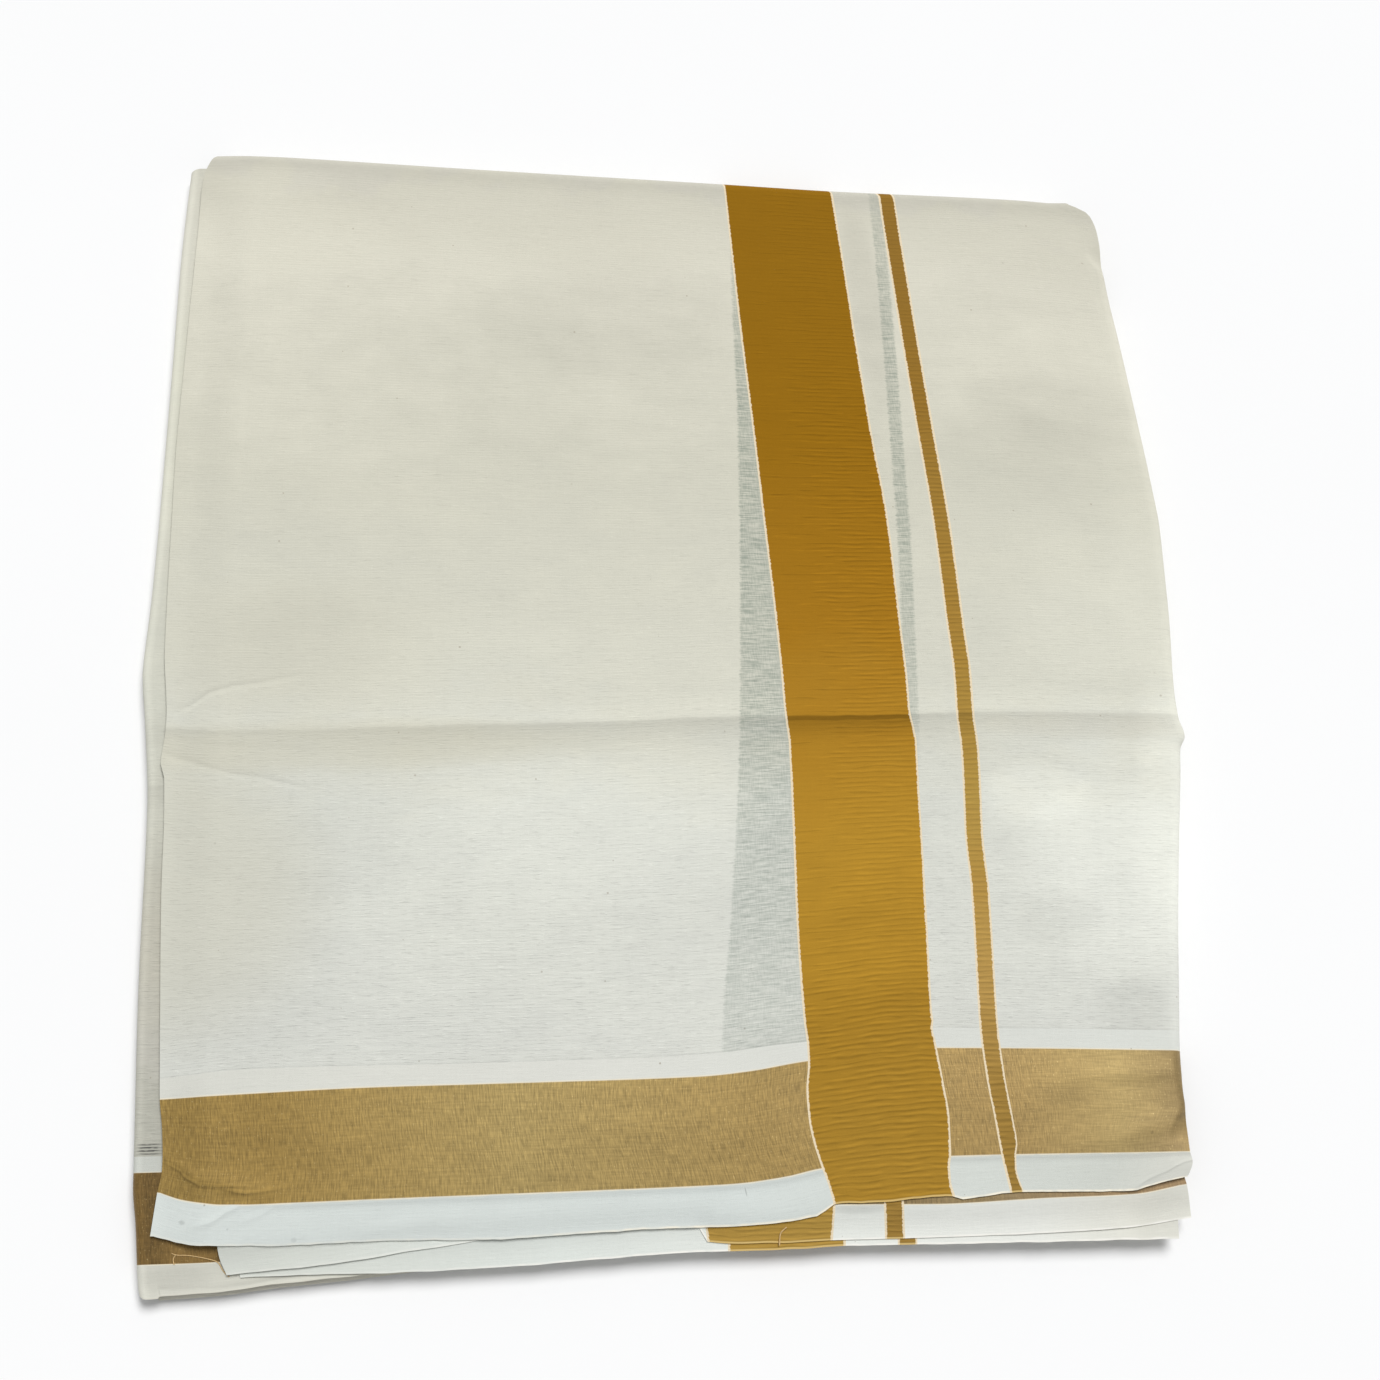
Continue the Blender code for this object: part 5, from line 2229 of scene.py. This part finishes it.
# The stops at 480 and 489 darken the ground towards the crosswise fold as painted shade.
GROUND_TONES = stops(
    FACE_LENGTH, (70, 215, 216, 208), (160, 217, 218, 208), (215, 213, 212, 198), (330, 210, 208, 192),
    (437, 218, 215, 199), (480, 209, 206, 190), (489, 205, 202, 188),
)
MUSTARD_STOPS = (
    (75, 165, 124, 40), (135, 181, 137, 45), (215, 170, 124, 36), (260, 163, 116, 28),
    (350, 150, 106, 19), (458, 146, 104, 20),
)
MUSTARD_TONES = stops(FACE_LENGTH, (18, 166, 127, 46), *MUSTARD_STOPS)
END_MUSTARD_TONES = stops(FACE_LENGTH, (18, 172, 138, 66), *MUSTARD_STOPS)
STRIPE_TONES = stops(
    FACE_LENGTH, (4, 150, 118, 56), (25, 157, 124, 60), (85, 178, 143, 78), (115, 180, 145, 77),
    (135, 174, 138, 67), (160, 178, 146, 72), (200, 168, 134, 62), (260, 163, 126, 55),
    (320, 157, 121, 52), (375, 148, 111, 44), (470, 146, 110, 45),
)
STRIP_TONES = stops(FACE_WIDTH, (20, 216, 216, 207), (160, 220, 220, 212), (400, 217, 219, 212))
FRONT_FINISHES = ClothFinishes(
    GroundCotton(
        "front_ground_cotton", GROUND_TONES,
        # The broad pale spots by the right edge (across 400 to 436) are painted light where the rolled
        # edge turns to the light; the tiny dark ones are specks; the rest lighten or darken broad
        # patches.
        (
            Spot(180, 165, 95, 48, 0.07), Spot(60, 168, 70, 46, -0.02), Spot(405, 135, 55, 55, 0.14),
            Spot(436, 150, 30, 120, 0.09), Spot(436, 290, 34, 130, 0.06), Spot(25, 84, 70, 24, -0.03),
            Spot(130, 236, 120, 26, 0.03), Spot(30, 450, 80, 30, 0.05), Spot(325, 425, 11, 70, -0.11),
            Spot(368, 168, 30, 18, 0.12), Spot(377, 112, 24, 16, -0.09), Spot(410, 74, 24, 18, -0.09),
            Spot(400, 370, 46, 30, -0.07), Spot(210, 412, 74, 44, -0.05), Spot(60, 246, 50, 30, -0.06),
            Spot(35, 480, 44, 12, 0.05), Spot(423, 192, 14, 24, 0.06), Spot(400, 250, 44, 34, 0.05),
            Spot(385, 340, 60, 34, -0.035), Spot(405, 188, 34, 9, 0.05),
            Spot(252.8, 223.1, 1.3, 0.9, -0.16), Spot(262, 255.9, 0.9, 0.6, -0.16),
            Spot(22.3, 157.6, 0.7, 0.7, -0.22), Spot(388.5, 453.6, 0.6, 0.6, -0.16),
            Spot(261, 373.3, 0.5, 0.5, -0.16), Spot(400, 440, 44, 28, -0.03),
            Spot(400, 284, 44, 24, 0.03),
        ),
        stains=(
            Spot(0, 138, 84, 74, 0.5, srgb(201, 198, 180)),
            Spot(60, 246, 80, 40, 0.2, srgb(206, 202, 182)),
            Spot(70, 198, 150, 14, 0.35, srgb(204, 199, 176)),
            Spot(395, 200, 60, 8, 0.2, srgb(210, 204, 186)),
        ),
        painted_wrinkles=(
            wrinkle(
                -1.3, 0.55, (2, 212.5, 0), (9.8, 216, 0.06), (18.7, 222.6, 0.09), (28.7, 225.9, 0.1),
                (38.7, 227, 0.07), (51.2, 229.3, 0.07), (66, 231.5, 0),
            ),
            wrinkle(
                -1.3, 0.55, (1, 195, 0.03), (5.8, 193.5, 0.07), (18, 190.7, 0.09), (29.2, 187.1, 0.1),
                (38.8, 185.8, 0.07), (47.2, 183.7, 0.08), (54.5, 181.7, 0.07), (68, 178, 0),
            ),
            wrinkle(1.5, 0, (0, 203, 0), (8, 202.4, 0.05), (40, 200.2, 0.04), (80, 199, 0)),
        ),
        shows_beneath=True,
    ),
    DenseCotton(
        "front_dense_cotton",
        stops(
            FACE_WIDTH, (100, 213, 219, 215), (230, 214, 220, 216), (395, 208, 211, 203),
            (430, 213, 213, 204),
        ),
        STRIP_TONES, srgb(248, 241, 222),
        specks_and_painted_light=(
            Spot(11.7, 7.2, 1.6, 1.1, -0.2), Spot(231.1, 11.8, 0.35, 2.2, -0.3),
            Spot(56, 1.8, 1.5, 1.2, -0.12), Spot(30, 6, 0.6, 0.6, -0.15),
        ),
        painted_wrinkles=(
            wrinkle(
                1.5, 0.25, (13, 6, 0), (18.5, 6.9, 0.08), (22.2, 8, 0.11), (25.4, 9.6, 0.12),
                (28.6, 12.2, 0.11), (31.8, 13.6, 0.1), (34, 15, 0.1),
            ),
            wrinkle(1.4, 0.3, (33, 8.2, 0), (37, 9.2, 0.05), (42.3, 11, 0.06), (47, 14, 0.05)),
            wrinkle(
                0.9, 0.35, (406, 0.8, 0), (412.1, 1.7, 0.08), (417.5, 3.1, 0.15), (421.7, 4.1, 0.12),
                (426, 5.2, 0.13), (430.2, 7.1, 0.16), (434.4, 8.5, 0.14), (440.7, 9.8, 0.14),
            ),
        ),
    ),
    BorderCotton("front_mustard_cotton", MUSTARD_TONES, STRIPE_TONES, CREAM),
    GoldBand(
        "front_gold_thread",
        stops(
            FACE_WIDTH, (45, 159, 131, 72), (145, 170, 147, 92), (245, 159, 133, 79), (345, 162, 135, 83),
            (400, 172, 149, 97), (430, 150, 128, 85),
        ),
        srgb(238, 226, 204),
        # The broad spots at across 412 to 430 are painted shade and highlight of small wrinkles at the
        # band's right end; the tiny dark ones are specks.
        (
            Spot(223, 37, 1, 1, -0.22), Spot(223.6, 40, 0.3, 3, -0.12), Spot(372, 38, 16, 5, -0.1),
            Spot(430, 35, 16, 8, -0.1), Spot(418, 23, 1.2, 0.9, -0.25), Spot(40, 40, 30, 5, -0.07),
            Spot(96, 30, 26, 7, 0.06), Spot(310, 24, 30, 5, 0.05), Spot(428, 25.5, 14, 3.4, 0.1),
            Spot(412, 23.5, 12, 4.5, 0.05), Spot(400, 16.5, 60, 4, -0.1),
        ),
        painted_wrinkles=(
            wrinkle(
                0.7, 0.8, (1, 28.2, 0.1), (3.3, 27.8, 0.18), (7.6, 26.3, 0.16), (9.5, 24.3, 0.26),
                (16.2, 21.7, 0.26), (23.2, 21.7, 0.24), (32.5, 21.9, 0.14), (39, 22.2, 0),
            ),
            wrinkle(
                0.7, 0.8, (24, 21, 0), (28, 20.4, 0.12), (31.5, 19.6, 0.28), (35.2, 19.1, 0.32),
                (42.1, 19.6, 0.18), (50, 20.6, 0),
            ),
            wrinkle(1, 1, (10, 33, 0), (18, 31, 0.06), (30, 30.5, 0.05), (40, 31.5, 0)),
            wrinkle(1.6, 0.2, (395, 29, 0), (408, 29.8, 0.05), (424, 30, 0.12), (440.7, 31.4, 0.14)),
        ),
    ),
)
END_FINISHES = ClothFinishes(
    GroundCotton("end_ground_cotton", GROUND_TONES),
    DenseCotton(
        "end_dense_cotton",
        stops(
            FACE_WIDTH, (90, 213, 216, 208), (200, 223, 228, 222), (395, 234, 235, 228),
            (445, 230, 229, 218),
        ),
        STRIP_TONES, srgb(246, 244, 236), painted_hem_shadow=0.1, painted_light_past_hem=0.3,
        # The spot at across 328 is painted shadow under the front hem.
        specks_and_painted_light=(Spot(328, 14, 16, 4, -0.16), Spot(448, 6, 16, 12, -0.06)),
    ),
    BorderCotton("end_mustard_cotton", END_MUSTARD_TONES, STRIPE_TONES, CREAM),
    # The end's gold is darker than the front's, partly as painted shade: it shows mostly as a sliver
    # under the front hem.
    GoldBand(
        "end_gold_thread",
        stops(
            FACE_WIDTH, (100, 140, 118, 76), (300, 140, 118, 78), (380, 142, 123, 88),
            (440, 157, 132, 98),
        ),
        srgb(228, 212, 182),
    ),
)
# The spots at across -420 that run the whole length are painted light on the side fold's rounded outside;
# the dense margin's wrinkle is painted shade along the upper leaf's hem.
SIDE_FINISHES = ClothFinishes(
    GroundCotton(
        "side_ground_cotton",
        stops(
            FACE_LENGTH, (68, 184, 183, 171), (84, 191, 189, 178), (150, 191, 188, 174),
            (186, 194, 193, 180), (246, 206, 206, 193), (300, 211, 210, 196), (393, 214, 213, 197),
            (450, 213, 211, 197),
        ),
        (Spot(-420, 250, 7, 5000, 0.22),), checked=True,
    ),
    DenseCotton(
        "side_dense_cotton", stops(FACE_WIDTH, (0, 213, 212, 200), (300, 213, 212, 200)),
        stops(FACE_WIDTH, (0, 204, 206, 198), (300, 204, 206, 198)), srgb(218, 213, 196), painted_hem_shadow=0.06,
        specks_and_painted_light=(
            Spot(-420, 36, 7, 5000, 0.2), Spot(-402, 8, 16, 9, -0.06), Spot(-409.5, 1.8, 0.5, 2, -0.12),
        ),
        painted_wrinkles=(
            wrinkle(
                -1.5, 0.6, (-410.5, 3.5, 0), (-409, 3.3, 0.08), (-396, 2.6, 0.05), (-382.7, 1.9, 0.07),
                (-366, 1.9, 0.12), (-352.5, 2.6, 0.15), (-344, 3.2, 0.15),
            ),
        ),
    ),
    BorderCotton("side_mustard_cotton", MUSTARD_TONES, STRIPE_TONES, CREAM),
    GoldBand(
        "side_gold_thread", stops(FACE_WIDTH, (0, 120, 95, 52), (300, 120, 95, 52)), srgb(216, 196, 160),
        (Spot(-420, 36, 8, 5000, 0.3), Spot(-411, 36, 9, 60, -0.16), Spot(-397, 20, 17, 11, 0.28)),
    ),
)
# Paler towards the hem end: painted light that lifts the shade where the hidden hems show.
LAYER_FINISH = PlainYarn(
    "layer_cotton_yarn", stops(FACE_LENGTH, (0, 244, 242, 232), (450, 210, 206, 190)),
)


# ---- Floor, light and camera ----


@dataclass(frozen=True)
class Studio:
    """A pale floor, soft light from high up behind, and the camera.

    Attributes:
        camera_at: where the camera stands.
        camera_down: its turn about X from looking straight down.
        sensor: width of its sensor.
        focal_length: of its lens.
        floor_reach: half the floor's width.
        key_height: angle of the wide key light above the floor.
        key_turn: its turn from straight behind towards the right.
        key_width: how wide it looks, which softens its shadows.
        key_strength: of the key light.
        surround: strength of the light from all round.
    """

    camera_at: Triple = (0.01516, -0.24822, 0.7124)
    camera_down: float = math.radians(18.6)
    sensor: float = 36.0
    focal_length: float = 1700 / 1380 * 36
    floor_reach: float = 12.0
    key_height: float = math.radians(57)
    key_turn: float = math.radians(30)
    key_width: float = math.radians(30)
    key_strength: float = 2.5
    surround: float = 0.375

    def build(self) -> None:
        """Make the floor, the lights and the camera."""
        self._floor()
        self._key()
        scene = bpy.context.scene
        scene.world = bpy.data.worlds.new("studio")
        scene.world.use_nodes = True
        sky = scene.world.node_tree.nodes["Background"]
        sky.inputs["Color"].default_value = (0.98, 0.99, 1.0, 1.0)
        sky.inputs["Strength"].default_value = self.surround
        lens = bpy.data.cameras.new("camera")
        lens.lens, lens.sensor_width = self.focal_length, self.sensor
        lens.clip_start, lens.clip_end = 0.01, 20.0
        scene.camera = placed("camera", lens)
        scene.camera.location = self.camera_at
        scene.camera.rotation_euler = (self.camera_down, 0.0, 0.0)
        scene.view_settings.view_transform = "Standard"

    def _floor(self) -> None:
        """Make a plain pale floor with the faintest unevenness, wide enough to fill every view."""
        bm = bmesh.new()
        bmesh.ops.create_grid(bm, x_segments=4, y_segments=4, size=self.floor_reach)
        mesh = bpy.data.meshes.new("floor")
        bm.to_mesh(mesh)
        bm.free()
        material, tree = blank_material("pale_floor")
        t = Tree(tree)
        pale = t.blend(t.object_noise(3.0), FLOOR_DARK, FLOOR_PALE)
        t.shader(Base_Color=pale, Roughness=0.9, Specular_IOR_Level=0.1)
        mesh.materials.append(material)
        floor = placed("floor", mesh)

    def _key(self) -> None:
        """Make a wide soft key light from high up, behind and to the right."""
        light = bpy.data.lights.new("key_light", "SUN")
        light.energy, light.angle = self.key_strength, self.key_width
        level, height = math.cos(self.key_height), math.sin(self.key_height)
        towards = Vector((level * math.sin(self.key_turn), level * math.cos(self.key_turn), height))
        lamp = placed("key_light", light)
        lamp.location = towards * 3.0
        lamp.rotation_euler = (-towards).to_track_quat("-Z", "Y").to_euler()


# ---- The whole ----


def settle(thing: Object, finishes: Sequence[Material], node: Optional[str]) -> None:
    """Dress a piece, tie it to the body, and hide the solid it stands for.

    Args:
        thing: the piece.
        finishes: its materials.
        node: the solid it stands for, if any.
    """
    dress(thing, finishes)
    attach(thing, "root")
    if node:
        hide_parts(node)
    count = len(thing.data.polygons) if thing.type == "MESH" else len(thing.data.splines)
    LOG.info("%s: %d faces or threads", thing.name, count)


def main() -> None:
    """Build the cloth from the front to the floor, then the studio."""
    logging.basicConfig(level=logging.INFO, format="%(name)s: %(message)s")
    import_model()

    front_shape = FrontCloth()
    front = front_shape.build()
    settle(front, FRONT_FINISHES.make(), "front_panel")

    end_finishes = END_FINISHES.make()
    end_shapes = (second_end(), third_end())
    for shape in end_shapes:
        end = shape.build()
        settle(end, end_finishes, shape.node)

    side_shape = SideFoldCloth()
    side = side_shape.build()
    settle(side, SIDE_FINISHES.make(), "side_fold_panel")

    layer_finish = LAYER_FINISH.make()
    layers = HiddenLayers().build()
    for number, layer in enumerate(layers):
        settle(layer, [layer_finish], None if number else "folded_core")

    threads = LooseThreads(side_shape, end_shapes[0]).build()
    settle(threads, [ThreadYarn().make()], None)

    for layer in layers[1:]:
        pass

    Studio().build()


if __name__ == "__main__":
    main()
